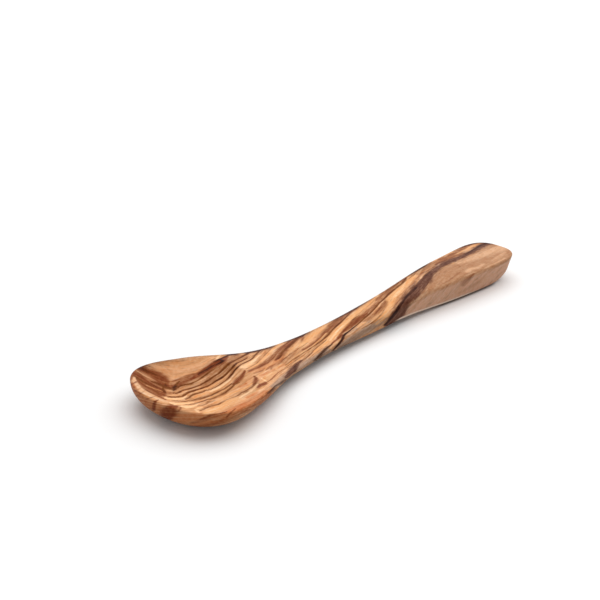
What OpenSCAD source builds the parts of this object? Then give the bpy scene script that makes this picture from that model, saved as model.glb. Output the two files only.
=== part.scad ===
// Wooden teaspoon, carved from one piece of olive wood.
// The bowl's tip points along -X and the handle along +X, and the spoon lies on the plane z = 0.
// Its body is one loft. At each station along the spoon a ring of points runs round the hull from
// one top edge to the other, then back across the top face, and down through the hollow in the bowl.
// Distances named _at are measured from the bowl's tip, and those named _back from the handle's end.

/* [Length] */
// From the tip of the bowl to the end of the handle
spoon_l = 130; // [122:1:145]

/* [Bowl outline] */
// Width of the bowl at its widest place
bowl_w = 32.8; // [29:0.2:36]
// Where the bowl is widest
widest_at = 11.4; // [10:0.1:14]
// Bluntness of the tip seen from above, where 2 is an ellipse
tip_blunt = 2.2; // [2:0.05:3]
// Where the bowl's sides turn in towards the neck
shoulder_at = 21; // [19:0.5:25]
// Width at the shoulder
shoulder_w = 28.4; // [24:0.2:29]
// Where the bowl's back has become the neck
throat_at = 37.5; // [34:0.5:42]
// Width at the throat
throat_w = 15.8; // [13:0.2:18]

/* [Handle outline] */
// Where the handle is narrowest
waist_back = 52; // [46:1:56]
// Width at the waist
waist_w = 9.2; // [8:0.2:11]
// Where the handle swells into the grip
swell_back = 22; // [18:1:28]
// Width at the swell
swell_w = 14; // [11.4:0.2:14.4]
// Where the grip is widest
grip_back = 10; // [8:0.5:14]
// Width of the grip
grip_w = 15.2; // [14.6:0.2:18]
// Bluntness of the end seen from above, where 2 is an ellipse
end_blunt = 2.8; // [2:0.1:4]

/* [Top edge] */
// Height of the rim at the tip
tip_h = 7.3; // [7:0.1:10]
// Height of the rim where the bowl is widest
rim_h = 6.9; // [6.7:0.1:8]
// Height at the shoulder
shoulder_h = 6.1; // [5.6:0.1:6.6]
// Where the neck is thinnest
neck_at = 44; // [42:1:50]
// Height of the top edge at the thin neck
neck_h = 3.7; // [3.4:0.1:5]
// Height of the top edge along the handle
handle_h = 7.7; // [6.5:0.1:9]

/* [Underside] */
// Where the belly of the bowl comes down to the table
keel_at = 14.4; // [13:0.2:17]
// Bluntness of the rise under the tip in side view
nose_blunt = 2.5; // [2:0.05:3]
// Height of the underside over the table between neck and waist
arch_h = 1.4; // [0.4:0.1:1.6]
// Where the underside has risen to that height behind the bowl
arch_at = 41.5; // [38:0.5:46]
// Length of the rounded rise under the handle's end
heel_l = 11.5; // [7:0.5:14]
// Bluntness of that rise in side view
heel_blunt = 2; // [2:0.1:3.5]
// How much is sanded off flat where the belly and the handle touch the table
rest_cut = 0.1; // [0.05:0.05:0.3]

/* [Cross-section] */
// Squareness of the hull under the bowl, where 2 is an ellipse
hull_square = 2.2; // [2:0.05:2.6]
// Height of the lower arris of the handle's side faces over the table
arris_h = 0.8; // [0.4:0.1:2]
// Lean of the handle's sides, in mm inwards for each mm down
side_lean = 0.33; // [0:0.01:0.4]
// Crown of the top face across the neck
neck_crown = 0.8; // [0.4:0.1:1.4]
// Crown of the top face across the handle
handle_crown = 0.6; // [0.2:0.1:1]

/* [Hollow] */
// Width of the rim at the tip
rim_front = 1.5; // [1.2:0.1:2.4]
// Width of the rim along the sides
rim_side = 2.3; // [2:0.1:3.2]
// How far the carver's hollow sits off the middle, towards +Y
hollow_side = 1.3; // [-1.4:0.1:1.4]
// Where the hollow's rear edge crosses the spoon
hollow_end_at = 28.2; // [26:0.2:31]
// Depth of the hollow below the rim
hollow_depth = 5; // [4.2:0.1:5.2]
// Where the hollow is deepest
deepest_at = 14; // [12.5:0.5:17]
// Bluntness of the hollow's front seen from above
hollow_blunt = 2.15; // [2:0.05:3]
// Squareness of the hollow's rear edge seen from above
hollow_square = 6; // [3:0.5:8]
// Fullness of the hollow across the bowl, where more gives steeper walls and a flatter floor
wall_full = 2.8; // [2:0.1:4]
// Fullness of the hollow towards the tip
front_full = 2.6; // [2:0.1:4]
// Fullness of the hollow towards the neck
back_full = 2.2; // [1.6:0.1:3]

/* [Hidden] */

// Rings in each stretch: rim at the tip, front and back of the hollow, neck and handle, rounded end
ring_counts = [5, 12, 18, 30, 12];
hull_steps = 32;
rim_steps = 3;
hollow_steps = 22;

waist_at = spoon_l - waist_back;
swell_at = spoon_l - swell_back;
grip_at = spoon_l - grip_back;
heel_at = spoon_l - heel_l;

// The lower arris, as a share of the handle's thickness up from its underside
arris_share = (arris_h + rest_cut) / (handle_h + rest_cut);

// Stations of each line along the spoon, as [distance from the tip, value]. The facet line is the
// share of the handle's flat-sided section in the rounded one.
width_line = [[widest_at, bowl_w / 2], [shoulder_at, shoulder_w / 2], [throat_at, throat_w / 2],
              [waist_at, waist_w / 2], [swell_at, swell_w / 2], [grip_at, grip_w / 2]];
top_line = [[0, tip_h], [widest_at, rim_h], [shoulder_at, shoulder_h], [neck_at, neck_h],
            [swell_at, handle_h], [spoon_l, handle_h]];
under_line = [[keel_at, -rest_cut], [arch_at, arch_h], [waist_at, arch_h],
              [swell_at, -rest_cut], [heel_at, -rest_cut]];
lean_line = [[neck_at, 0], [swell_at, side_lean]];
facet_line = [[neck_at, 0], [waist_at, 1]];
crown_line = [[hollow_end_at, 0], [neck_at, neck_crown], [waist_at, neck_crown],
              [swell_at, handle_crown], [grip_at, handle_crown], [spoon_l, 0]];

function clamp(v, low, high) = min(high, max(low, v));
function mix(a, b, t) = a + (b - a) * t;

// Quarter of a superellipse: 1 at t = 0 and 0 at t = 1, a circle's for p = 2 and squarer above that
function quarter(t, p) = pow(1 - pow(clamp(t, 0, 1), p), 1 / p);

// Smooth curve through the stations s. Its slope is level at the ends and at every crest or dip, and
// elsewhere that of a parabola through three stations, but no more than three times the gentler of
// the rises on both sides, so that the curve never swings past a station.
function run(s, i) = s[i + 1][0] - s[i][0];
function rise(s, i) = (s[i + 1][1] - s[i][1]) / run(s, i);
function slope(s, i) =
    i == 0 || i == len(s) - 1 ? 0
    : let (before = rise(s, i - 1), after = rise(s, i),
           mean = (run(s, i) * before + run(s, i - 1) * after) / (run(s, i - 1) + run(s, i)))
      before * after <= 0 ? 0 : sign(mean) * min(abs(mean), 3 * abs(before), 3 * abs(after));
function span_of(s, x, i = 0) = i < len(s) - 2 && x >= s[i + 1][0] ? span_of(s, x, i + 1) : i;
function cubic(s, i, t) =
    mix(s[i][1], s[i + 1][1], t * t * (3 - 2 * t))
    + run(s, i) * t * (1 - t) * (slope(s, i) * (1 - t) - slope(s, i + 1) * t);
function along(s, x) =
    let (c = clamp(x, s[0][0], s[len(s) - 1][0]), i = span_of(s, c))
    cubic(s, i, (c - s[i][0]) / run(s, i));

// Half the width of the top outline at x
function half_w(x) =
    x < widest_at ? bowl_w / 2 * quarter((widest_at - x) / widest_at, tip_blunt)
    : x > grip_at ? grip_w / 2 * quarter((x - grip_at) / grip_back, end_blunt)
    : along(width_line, x);

// Height of the top edge and of the underside at x. Both meet at the tip and at the handle's end.
function top_z(x) = along(top_line, x);
function under_z(x) =
    x < keel_at ? mix(tip_h, -rest_cut, quarter((keel_at - x) / keel_at, nose_blunt))
    : x > heel_at ? mix(handle_h, -rest_cut, quarter((x - heel_at) / heel_l, heel_blunt))
    : along(under_line, x);

// Half the width of the hollow at x, 0 outside it
function hollow_half(x) =
    x <= rim_front || x >= hollow_end_at ? 0
    : x < widest_at
    ? (bowl_w / 2 - rim_side) * quarter((widest_at - x) / (widest_at - rim_front), hollow_blunt)
    : (half_w(x) - rim_side)
      * quarter((x - widest_at) / (hollow_end_at - widest_at), hollow_square);

// Depth of the hollow along its middle at x
function hollow_fall(x) =
    x < deepest_at
    ? hollow_depth * (1 - pow((deepest_at - x) / (deepest_at - rim_front), front_full))
    : hollow_depth * (1 - pow((x - deepest_at) / (hollow_end_at - deepest_at), back_full));

// Half sections as [distance out from the middle, distance down from the top edge] at the angle a,
// from 0 at the top edge to 90 under the middle: the rounded hull of the bowl, and the handle's, with
// a flat side face down to the lower arris and a shallow parabola under it
function round_at(w, deep, a) =
    [w * pow(cos(a), 2 / hull_square), deep * pow(sin(a), 2 / hull_square)];
function facet_at(w, deep, lean, a) =
    let (face = deep * (1 - arris_share), foot = max(0, w - lean * face), t = 2 - a / 45)
    a < 45 ? [mix(w, foot, a / 45), face * a / 45]
    : [foot * t, deep - (deep - face) * t * t];

// Points round the hull at x: down one side, under and up the other. The side faces begin at the neck.
function hull_points(x) =
    let (w = half_w(x), top = top_z(x), deep = top - under_z(x),
         lean = along(lean_line, x), flat = along(facet_line, x))
    [for (i = [0:hull_steps])
        let (a = 180 * i / hull_steps, b = min(a, 180 - a), side = i * 2 < hull_steps ? -1 : 1,
             half = mix(round_at(w, deep, b), facet_at(w, deep, lean, b), flat))
        [x, side * half[0], max(0, top - half[1])]];

// Points back across the top face at x: far rim, hollow, near rim
function top_points(x) =
    let (w = half_w(x), h = hollow_half(x), mid = clamp(hollow_side, -w / 2, w / 2),
         fall = h > 0 ? hollow_fall(x) : 0, top = top_z(x), bulge = along(crown_line, x),
         far = [for (k = [1:rim_steps - 1]) mix(w, mid + h, k / rim_steps)],
         across = [for (k = [0:hollow_steps]) mid + h * cos(180 * k / hollow_steps)],
         near = [for (k = [1:rim_steps - 1]) mix(mid - h, -w, k / rim_steps)])
    [for (y = concat(far, across, near))
        let (v = h > 0 ? min(1, abs(y - mid) / h) : 1,
             up = w > 0 ? bulge * (1 - pow(y / w, 2)) : 0)
        [x, y, top + up - fall * (1 - pow(v, wall_full))]];

// Stations of the rings, closer together where the outline or the hollow turns fast
ring_x = concat(
    [for (i = [0:ring_counts[0] - 1]) rim_front * pow(i / ring_counts[0], 2)],
    [for (i = [0:ring_counts[1] - 1]) mix(rim_front, widest_at, 1 - cos(90 * i / ring_counts[1]))],
    [for (i = [0:ring_counts[2] - 1]) mix(widest_at, hollow_end_at, sin(90 * i / ring_counts[2]))],
    [for (i = [0:ring_counts[3] - 1]) mix(hollow_end_at, grip_at, i / ring_counts[3])],
    [for (i = [0:ring_counts[4]]) mix(grip_at, spoon_l, sin(90 * i / ring_counts[4]))]);

// Skin of triangles over a list of rings, leaving out those that a closed end makes flat
module skin(rings) {
    n = len(rings[0]);
    points = [for (ring = rings) each ring];
    quads = [for (i = [0:len(rings) - 2], j = [0:n - 1])
        [i * n + j, (i + 1) * n + j, (i + 1) * n + (j + 1) % n, i * n + (j + 1) % n]];
    faces = [for (q = quads, f = [[q[0], q[1], q[2]], [q[0], q[2], q[3]]])
        if (points[f[0]] != points[f[1]] && points[f[1]] != points[f[2]]
            && points[f[2]] != points[f[0]]) f];
    polyhedron(points, faces, convexity = 6);
}

module spoon() {
    color("#c08a58")
    translate([-spoon_l / 2, 0, 0])
    skin([for (x = ring_x) concat(hull_points(x), top_points(x))]);
}

spoon();
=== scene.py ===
# %% [markdown]
# # A wooden teaspoon
# The real spoon is carved from one piece of olive wood: an egg-shaped bowl with a narrow rim, a thin
# neck, and a handle that swells to a blunt end. This lesson loads the exact solid, works out its
# surface again finely enough for eased edges, and gives it a wood with growth layers laid out in lists.

import bpy
import numpy as np
from mathutils import Matrix


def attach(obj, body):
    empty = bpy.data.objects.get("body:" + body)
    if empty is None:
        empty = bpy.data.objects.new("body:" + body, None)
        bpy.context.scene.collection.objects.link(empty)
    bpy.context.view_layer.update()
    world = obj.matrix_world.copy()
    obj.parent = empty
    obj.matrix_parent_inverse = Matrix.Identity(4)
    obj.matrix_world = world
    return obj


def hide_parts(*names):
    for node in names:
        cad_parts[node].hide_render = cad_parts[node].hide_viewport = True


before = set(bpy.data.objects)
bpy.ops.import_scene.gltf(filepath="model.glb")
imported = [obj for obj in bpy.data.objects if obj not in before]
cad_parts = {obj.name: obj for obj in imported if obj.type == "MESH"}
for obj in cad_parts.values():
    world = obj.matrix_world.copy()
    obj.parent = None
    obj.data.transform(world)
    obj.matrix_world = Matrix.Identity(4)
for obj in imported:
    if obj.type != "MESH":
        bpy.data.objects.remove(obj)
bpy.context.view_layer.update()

# %% [markdown]
# ## The camera
# The photograph looks down at the spoon from the bowl's side, with a long lens, so near and far
# parts differ little in size. A camera is placed by an aim point, an azimuth, an elevation and a
# distance: that is easier to reason about than three coordinates and three angles.

# %% Place the camera
MM = 0.001
PICTURE_SIDE = 600  # pixels, the picture is square
AZIMUTH, ELEVATION = np.radians(46.54), np.radians(23.66)
DISTANCE = 405.4 * MM
FOCAL_PIXELS = 1536
AIM = np.array([2.72, 18.8, 5]) * MM

right = np.array([np.cos(AZIMUTH), -np.sin(AZIMUTH), 0])
away = np.array([np.sin(AZIMUTH), np.cos(AZIMUTH), 0])
forward = away * np.cos(ELEVATION) - np.array([0, 0, np.sin(ELEVATION)])
up = np.cross(right, forward)

camera_data = bpy.data.cameras.new("camera")
camera_data.sensor_width = 36
camera_data.lens = FOCAL_PIXELS * camera_data.sensor_width / PICTURE_SIDE
camera_data.clip_start = 0.01
camera = bpy.data.objects.new("camera", camera_data)
place = np.eye(4)
place[:3, 0], place[:3, 1], place[:3, 2] = right, up, -forward
place[:3, 3] = AIM - forward * DISTANCE
camera.matrix_world = Matrix(place.tolist())
bpy.context.scene.collection.objects.link(camera)
bpy.context.scene.camera = camera
print("camera at", np.round(place[:3, 3], 4), "with a lens of", round(camera_data.lens, 1), "mm")

# %% [markdown]
# ## The spoon's measures
# The same named sizes as the solid's, in millimetres. Distances along the spoon are measured from
# the bowl's tip. Each line along the spoon is a short list of stations, [distance, value], because
# a carver also thinks in a few marked places with an easy curve between them.

# %% Set the sizes in millimetres
LENGTH = 130
BOWL_HALF, WIDEST_AT, TIP_BLUNT = 16.4, 11.4, 2.2
GRIP_HALF, GRIP_BACK, END_BLUNT = 7.6, 10, 2.8
GRIP_AT = LENGTH - GRIP_BACK
TIP_HEIGHT, HANDLE_HEIGHT = 7.3, 7.7
KEEL_AT, NOSE_BLUNT = 14.4, 2.5
HEEL_LENGTH, HEEL_BLUNT = 11.5, 2
HEEL_AT = LENGTH - HEEL_LENGTH
REST_CUT = 0.1  # sanded off flat where the spoon touches the table
EASE_LINE = [[40, 0.45], [80, 1], [112, 1], [127, 0.45], [130, 0.45]]  # the outer edge's radius

HULL_SQUARE, ARRIS_HEIGHT = 2.2, 0.8  # 2 is an ellipse, more is fuller
ARRIS_SHARE = (ARRIS_HEIGHT + REST_CUT) / (HANDLE_HEIGHT + REST_CUT)

SIDE_LINE = [[11.4, 16.4], [21, 14.2], [37.5, 7.9], [78, 4.6], [108, 7], [120, 7.6]]
TOP_LINE = [[0, 7.3], [11.4, 6.9], [21, 6.1], [44, 3.7], [108, 7.7], [130, 7.7]]
UNDER_LINE = [[14.4, -0.1], [41.5, 1.4], [78, 1.4], [108, -0.1], [118.5, -0.1]]
LEAN_LINE = [[44, 0], [108, 0.33]]
FACET_LINE = [[44, 0], [78, 1]]
CROWN_LINE = [[28.2, 0], [44, 0.8], [78, 0.8], [108, 0.6], [120, 0.6], [130, 0]]

RIM_FRONT, RIM_SIDE, HOLLOW_SIDE = 1.5, 2.3, 1.3
HOLLOW_END, HOLLOW_DEPTH, DEEPEST_AT = 28.2, 5, 14
HOLLOW_BLUNT, HOLLOW_SQUARE = 2.15, 6
WALL_FULL, FRONT_FULL, BACK_FULL = 2.8, 2.6, 2.2
print("spoon of", LENGTH, "mm with a bowl of", 2 * BOWL_HALF, "mm")

# %% [markdown]
# ## Two kinds of curve
# A superellipse is an ellipse whose corners can be made fuller: it gives the blunt tip, the nose
# and the heel. A cubic through stations gives the long lines. Both work on whole arrays at once.

# %% Define the curves
def mix(a, b, t):
    """a + (b - a) t."""
    return a + (b - a) * t


def quarter(t, p):
    """Quarter of a superellipse: (1 - t^p)^(1/p), 1 at t = 0 and 0 at t = 1."""
    return (1 - np.clip(t, 0, 1) ** p) ** (1 / p)


def along(stations, x):
    """Cubic through the stations. Its slope is level at the ends and at each crest or dip, and
    elsewhere that of a parabola through three stations, at most 3 times the gentler rise beside it."""
    at, value = np.array(stations, float).T
    run = np.diff(at)
    rise = np.diff(value) / run
    mean = (run[1:] * rise[:-1] + run[:-1] * rise[1:]) / (run[:-1] + run[1:])
    steepest = 3 * np.minimum(abs(rise[:-1]), abs(rise[1:]))
    same_way = rise[:-1] * rise[1:] > 0
    inner = np.where(same_way, np.sign(mean) * np.minimum(abs(mean), steepest), 0)
    slope = np.concatenate([[0], inner, [0]])
    x = np.clip(x, at[0], at[-1])
    i = np.clip(np.searchsorted(at, x, side="right") - 1, 0, len(run) - 1)
    t = (x - at[i]) / run[i]
    bend = run[i] * t * (1 - t) * (slope[i] * (1 - t) - slope[i + 1] * t)
    return mix(value[i], value[i + 1], t * t * (3 - 2 * t)) + bend


quarter_up = along([[0, 0], [1, 1]], 0.25)
print("a line from 0 to 1 starts level: a quarter of the way along it is at", round(quarter_up, 2))

# %% Define the outline and the underside
def half_width(x):
    """Half the outline's width: a superellipse at both ends and the side line between them."""
    tip = BOWL_HALF * quarter((WIDEST_AT - x) / WIDEST_AT, TIP_BLUNT)
    end = GRIP_HALF * quarter((x - GRIP_AT) / GRIP_BACK, END_BLUNT)
    return np.where(x < WIDEST_AT, tip, np.where(x > GRIP_AT, end, along(SIDE_LINE, x)))


def edge_height(x):
    """Height of the outline's edge: the top line less the eased radius."""
    return along(TOP_LINE, x) - along(EASE_LINE, x)


def under_height(x):
    """Height of the underside along the middle: a superellipse under the tip and under the end."""
    nose = mix(edge_height(0), -REST_CUT, quarter((KEEL_AT - x) / KEEL_AT, NOSE_BLUNT))
    heel = mix(edge_height(LENGTH), -REST_CUT, quarter((x - HEEL_AT) / HEEL_LENGTH, HEEL_BLUNT))
    return np.where(x < KEEL_AT, nose, np.where(x > HEEL_AT, heel, along(UNDER_LINE, x)))


waist = np.linspace(60, 100, 401)
print("narrowest width:", round(2 * half_width(waist).min(), 2), "mm")

# %% [markdown]
# ## The hollow and the eased edges
# A knife leaves sharp edges and sandpaper rounds them, more on the handle than round the bowl. The
# outer edge is rounded with a quarter circle, by the distance to the outline. The hollow's edge has
# no such simple distance, so its depth is averaged over a small patch round each point, which is
# just what sanding does. A Bevel modifier would need a clean edge loop, which a hollow that fades
# into the neck does not have.

# %% Work out the hollow
def hollow_depth(x, y):
    """Depth below the rim: fall(x) (1 - |v|^wall), where v is the share of the way to the wall."""
    front = (WIDEST_AT - x) / (WIDEST_AT - RIM_FRONT)
    back = (x - WIDEST_AT) / (HOLLOW_END - WIDEST_AT)
    half = np.where(
        x < WIDEST_AT,
        (BOWL_HALF - RIM_SIDE) * quarter(front, HOLLOW_BLUNT),
        (half_width(x) - RIM_SIDE) * quarter(back, HOLLOW_SQUARE),
    )
    to_front = np.clip((DEEPEST_AT - x) / (DEEPEST_AT - RIM_FRONT), 0, 1)
    to_back = np.clip((x - DEEPEST_AT) / (HOLLOW_END - DEEPEST_AT), 0, 1)
    fall = HOLLOW_DEPTH * (1 - np.where(x < DEEPEST_AT, to_front ** FRONT_FULL, to_back ** BACK_FULL))
    v = np.clip(abs(y - HOLLOW_SIDE) / np.maximum(half, 1e-6), 0, 1)
    return fall * (1 - v ** WALL_FULL)


def sanded_hollow(x, y, reach=0.3, steps=2):
    """Mean of the hollow's depth over a patch round each point, weighted as a bell curve."""
    offsets = np.arange(-steps, steps + 1) * reach / steps * 1.6
    weights = np.exp(-((offsets / reach) ** 2))
    total = sum(
        wx * wy * hollow_depth(x + dx, y + dy)
        for dx, wx in zip(offsets, weights)
        for dy, wy in zip(offsets, weights)
    )
    return total / weights.sum() ** 2


deepest = sanded_hollow(DEEPEST_AT, HOLLOW_SIDE)
print("the hollow is", round(float(deepest), 2), "mm deep")

# %% Work out the height of the top face
def outline_distance(x, y):
    """Distance in from the outline, as f / |gradient of f|, where f is 0 on the outline: the
    superellipse's own equation at both ends, and half width less |y| between them."""
    def blunt(u, half, length, p):
        f = 1 - (abs(y) / half) ** p - u ** p
        pull = np.hypot(p / length * u ** (p - 1), p / half * (abs(y) / half) ** (p - 1))
        return f / np.maximum(pull, 1e-6)

    tip = blunt(np.clip((WIDEST_AT - x) / WIDEST_AT, 0, 1), BOWL_HALF, WIDEST_AT, TIP_BLUNT)
    end = blunt(np.clip((x - GRIP_AT) / GRIP_BACK, 0, 1), GRIP_HALF, GRIP_BACK, END_BLUNT)
    step = 0.01
    slope = (along(SIDE_LINE, x + step) - along(SIDE_LINE, x - step)) / (2 * step)
    side = (half_width(x) - abs(y)) / np.hypot(1, slope)
    return np.where(x < WIDEST_AT, tip, np.where(x > GRIP_AT, end, side))


def top_height(x, y):
    """Top line + crown (1 - (y/w)^2) - hollow - the quarter circle's drop near the outline."""
    w = np.maximum(half_width(x), 1e-6)
    crown = along(CROWN_LINE, x) * (1 - np.clip(abs(y) / w, 0, 1) ** 2)
    ease = along(EASE_LINE, x)
    inside = ease - np.clip(outline_distance(x, y), 0, ease)
    drop = ease - np.sqrt(ease ** 2 - inside ** 2)
    return along(TOP_LINE, x) + crown - sanded_hollow(x, y) - drop


rim_height = top_height(np.array([11.8]), np.array([-15.4]))[0]
print("rim at the side:", round(rim_height, 2), "mm high")

# %% [markdown]
# ## Rings round the spoon
# The surface is a stack of closed rings, one at each station along the spoon. A ring runs under
# the hull from the near edge to the far edge, then back across the top. Rings are set close
# together where the shape turns fast, at the tip, the hollow's rear edge and the handle's end.

# %% Lay out the stations and the ring
spacing_at = [0, 0.02, 0.6, 3, 26, 27, 29.5, 31, 38, 116, 127, 129.4, 129.98, 130]  # from the tip
spacing = [0.004, 0.01, 0.09, 0.22, 0.26, 0.13, 0.13, 0.3, 0.62, 0.62, 0.4, 0.09, 0.01, 0.004]
fine = np.linspace(0, LENGTH, 260001)
count = np.cumsum(1 / np.interp(fine, spacing_at, spacing)) * (fine[1] - fine[0])
ring_total = int(count[-1])
stations = np.interp(np.arange(1, ring_total) * count[-1] / ring_total, count, fine)

HULL_STEPS, TOP_STEPS = 140, 136
turn = np.linspace(0, np.pi, HULL_STEPS + 1)
turn = turn - 0.6 * np.sin(4 * turn) / 4  # closer together next to the edges and under the middle
across = np.linspace(1, -1, TOP_STEPS + 1)[1:-1]
across = across * (1.5 - 0.5 * across ** 2)  # closer together next to the edges
print(len(stations), "rings of", HULL_STEPS + TOP_STEPS, "points")

# %% [markdown]
# ## The section
# Under the bowl a section is a rounded hull. From the neck on it has flat side faces that lean in
# to a lower arris, as the knife left them, and the two shapes are mixed over the neck. Both hang
# from the foot of the eased edge, so they stand a third of a millimetre at most outside the
# solid's, which hang from its sharp edge. Each shape is a formula of the width, the depth and an
# angle, so a whole stack of rings is one array.

# %% Define the section
def round_section(w, deep, a):
    """Rounded hull: out = w cos(a)^(2/p), down = deep sin(a)^(2/p), for a from the edge to 90."""
    power = 2 / HULL_SQUARE
    return w * abs(np.cos(a)) ** power, deep * abs(np.sin(a)) ** power


def facet_section(w, deep, lean, a):
    """Flat side face down to the lower arris at 45 degrees, then a parabola under it."""
    t = a / (np.pi / 4)
    face = deep * (1 - ARRIS_SHARE)
    foot = np.maximum(0, w - lean * face)
    below = np.clip(2 - t, 0, 1)
    out = np.where(t < 1, mix(w, foot, t), foot * below)
    down = np.where(t < 1, face * t, deep - (deep - face) * below ** 2)
    return out, down


def hull_points(x, ease=0.035):
    """Under the top edge. The faces begin at the neck, and their arris is eased by the mean of
    five places next to each other on the section."""
    x = x[:, None]
    w, deep, lean = half_width(x), edge_height(x) - under_height(x), along(LEAN_LINE, x)
    a = np.minimum(turn, np.pi - turn)
    round_out, round_down = round_section(w, deep, a)
    near = [np.clip(a + k * ease, 0, np.pi / 2) for k in (-1, -0.5, 0, 0.5, 1)]
    flat_out, flat_down = np.mean([facet_section(w, deep, lean, b) for b in near], axis=0)
    flat = along(FACET_LINE, x)
    out, down = mix(round_out, flat_out, flat), mix(round_down, flat_down, flat)
    side = np.where(turn < np.pi / 2, -1, 1)
    z = np.maximum(0, edge_height(x) - down)
    return np.stack([x + 0 * down, side * out, z], -1)


lowest = hull_points(stations)[..., 2].min()
print("the hull's lowest point is at", round(float(lowest), 3), "mm")

# %% Work out all points
def top_points(x):
    """Across the top face, at the same share of the width on every ring."""
    x = x[:, None] + 0 * across
    y = half_width(x) * across
    return np.stack([x, y, top_height(x, y)], -1)


rings = np.concatenate([hull_points(stations), top_points(stations)], 1)
ring_count, ring_size = rings.shape[:2]
tip_point = [[0, 0, float(edge_height(0))]]
end_point = [[LENGTH, 0, float(edge_height(LENGTH))]]
points = np.concatenate([tip_point, rings.reshape(-1, 3), end_point])
points[:, 0] -= LENGTH / 2  # the frame's origin is under the spoon's middle
print(ring_count, "rings and two end points make", len(points), "points")

# %% [markdown]
# ## Faces between the rings
# A face joins two neighbours on one ring to the same two on the next, and a fan closes each end, so
# the spoon is one closed skin with its normals outwards. It then stands for the solid in the scene,
# on the same body.

# %% Join the rings to a mesh
# A face is cut in two for drawing from its first corner, so each starts at the corner that lets
# the cut run the same way as the growth lines
step_on = np.arange(ring_size)
step_next = (step_on + 1) % ring_size
first = 1 + np.arange(ring_count - 1)[:, None] * ring_size
second = first + ring_size
quads = np.stack([first + step_next, second + step_next, second + step_on, first + step_on], -1)
quads = quads.reshape(-1, 4)
last_ring = 1 + (ring_count - 1) * ring_size
tip_fan = np.stack([0 * step_on, 1 + step_next, 1 + step_on], -1)
end_fan = np.stack([0 * step_on + len(points) - 1, last_ring + step_on, last_ring + step_next], -1)

spoon_mesh = bpy.data.meshes.new("spoon_wood")
faces = quads.tolist() + tip_fan.tolist() + end_fan.tolist()
spoon_mesh.from_pydata((points * MM).tolist(), [], faces)
spoon_mesh.shade_smooth()
spoon = bpy.data.objects.new("spoon_wood", spoon_mesh)
bpy.context.scene.collection.objects.link(spoon)
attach(spoon, "root")
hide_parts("spoon")

triangles = np.concatenate([quads[:, [0, 1, 2]], quads[:, [0, 2, 3]], tip_fan, end_fan])
a, b, c = points[triangles].transpose(1, 0, 2)
volume = (a * np.cross(b, c)).sum() / 6
print(len(points), "points,", len(triangles), "triangles,", round(volume), "mm3")
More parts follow.
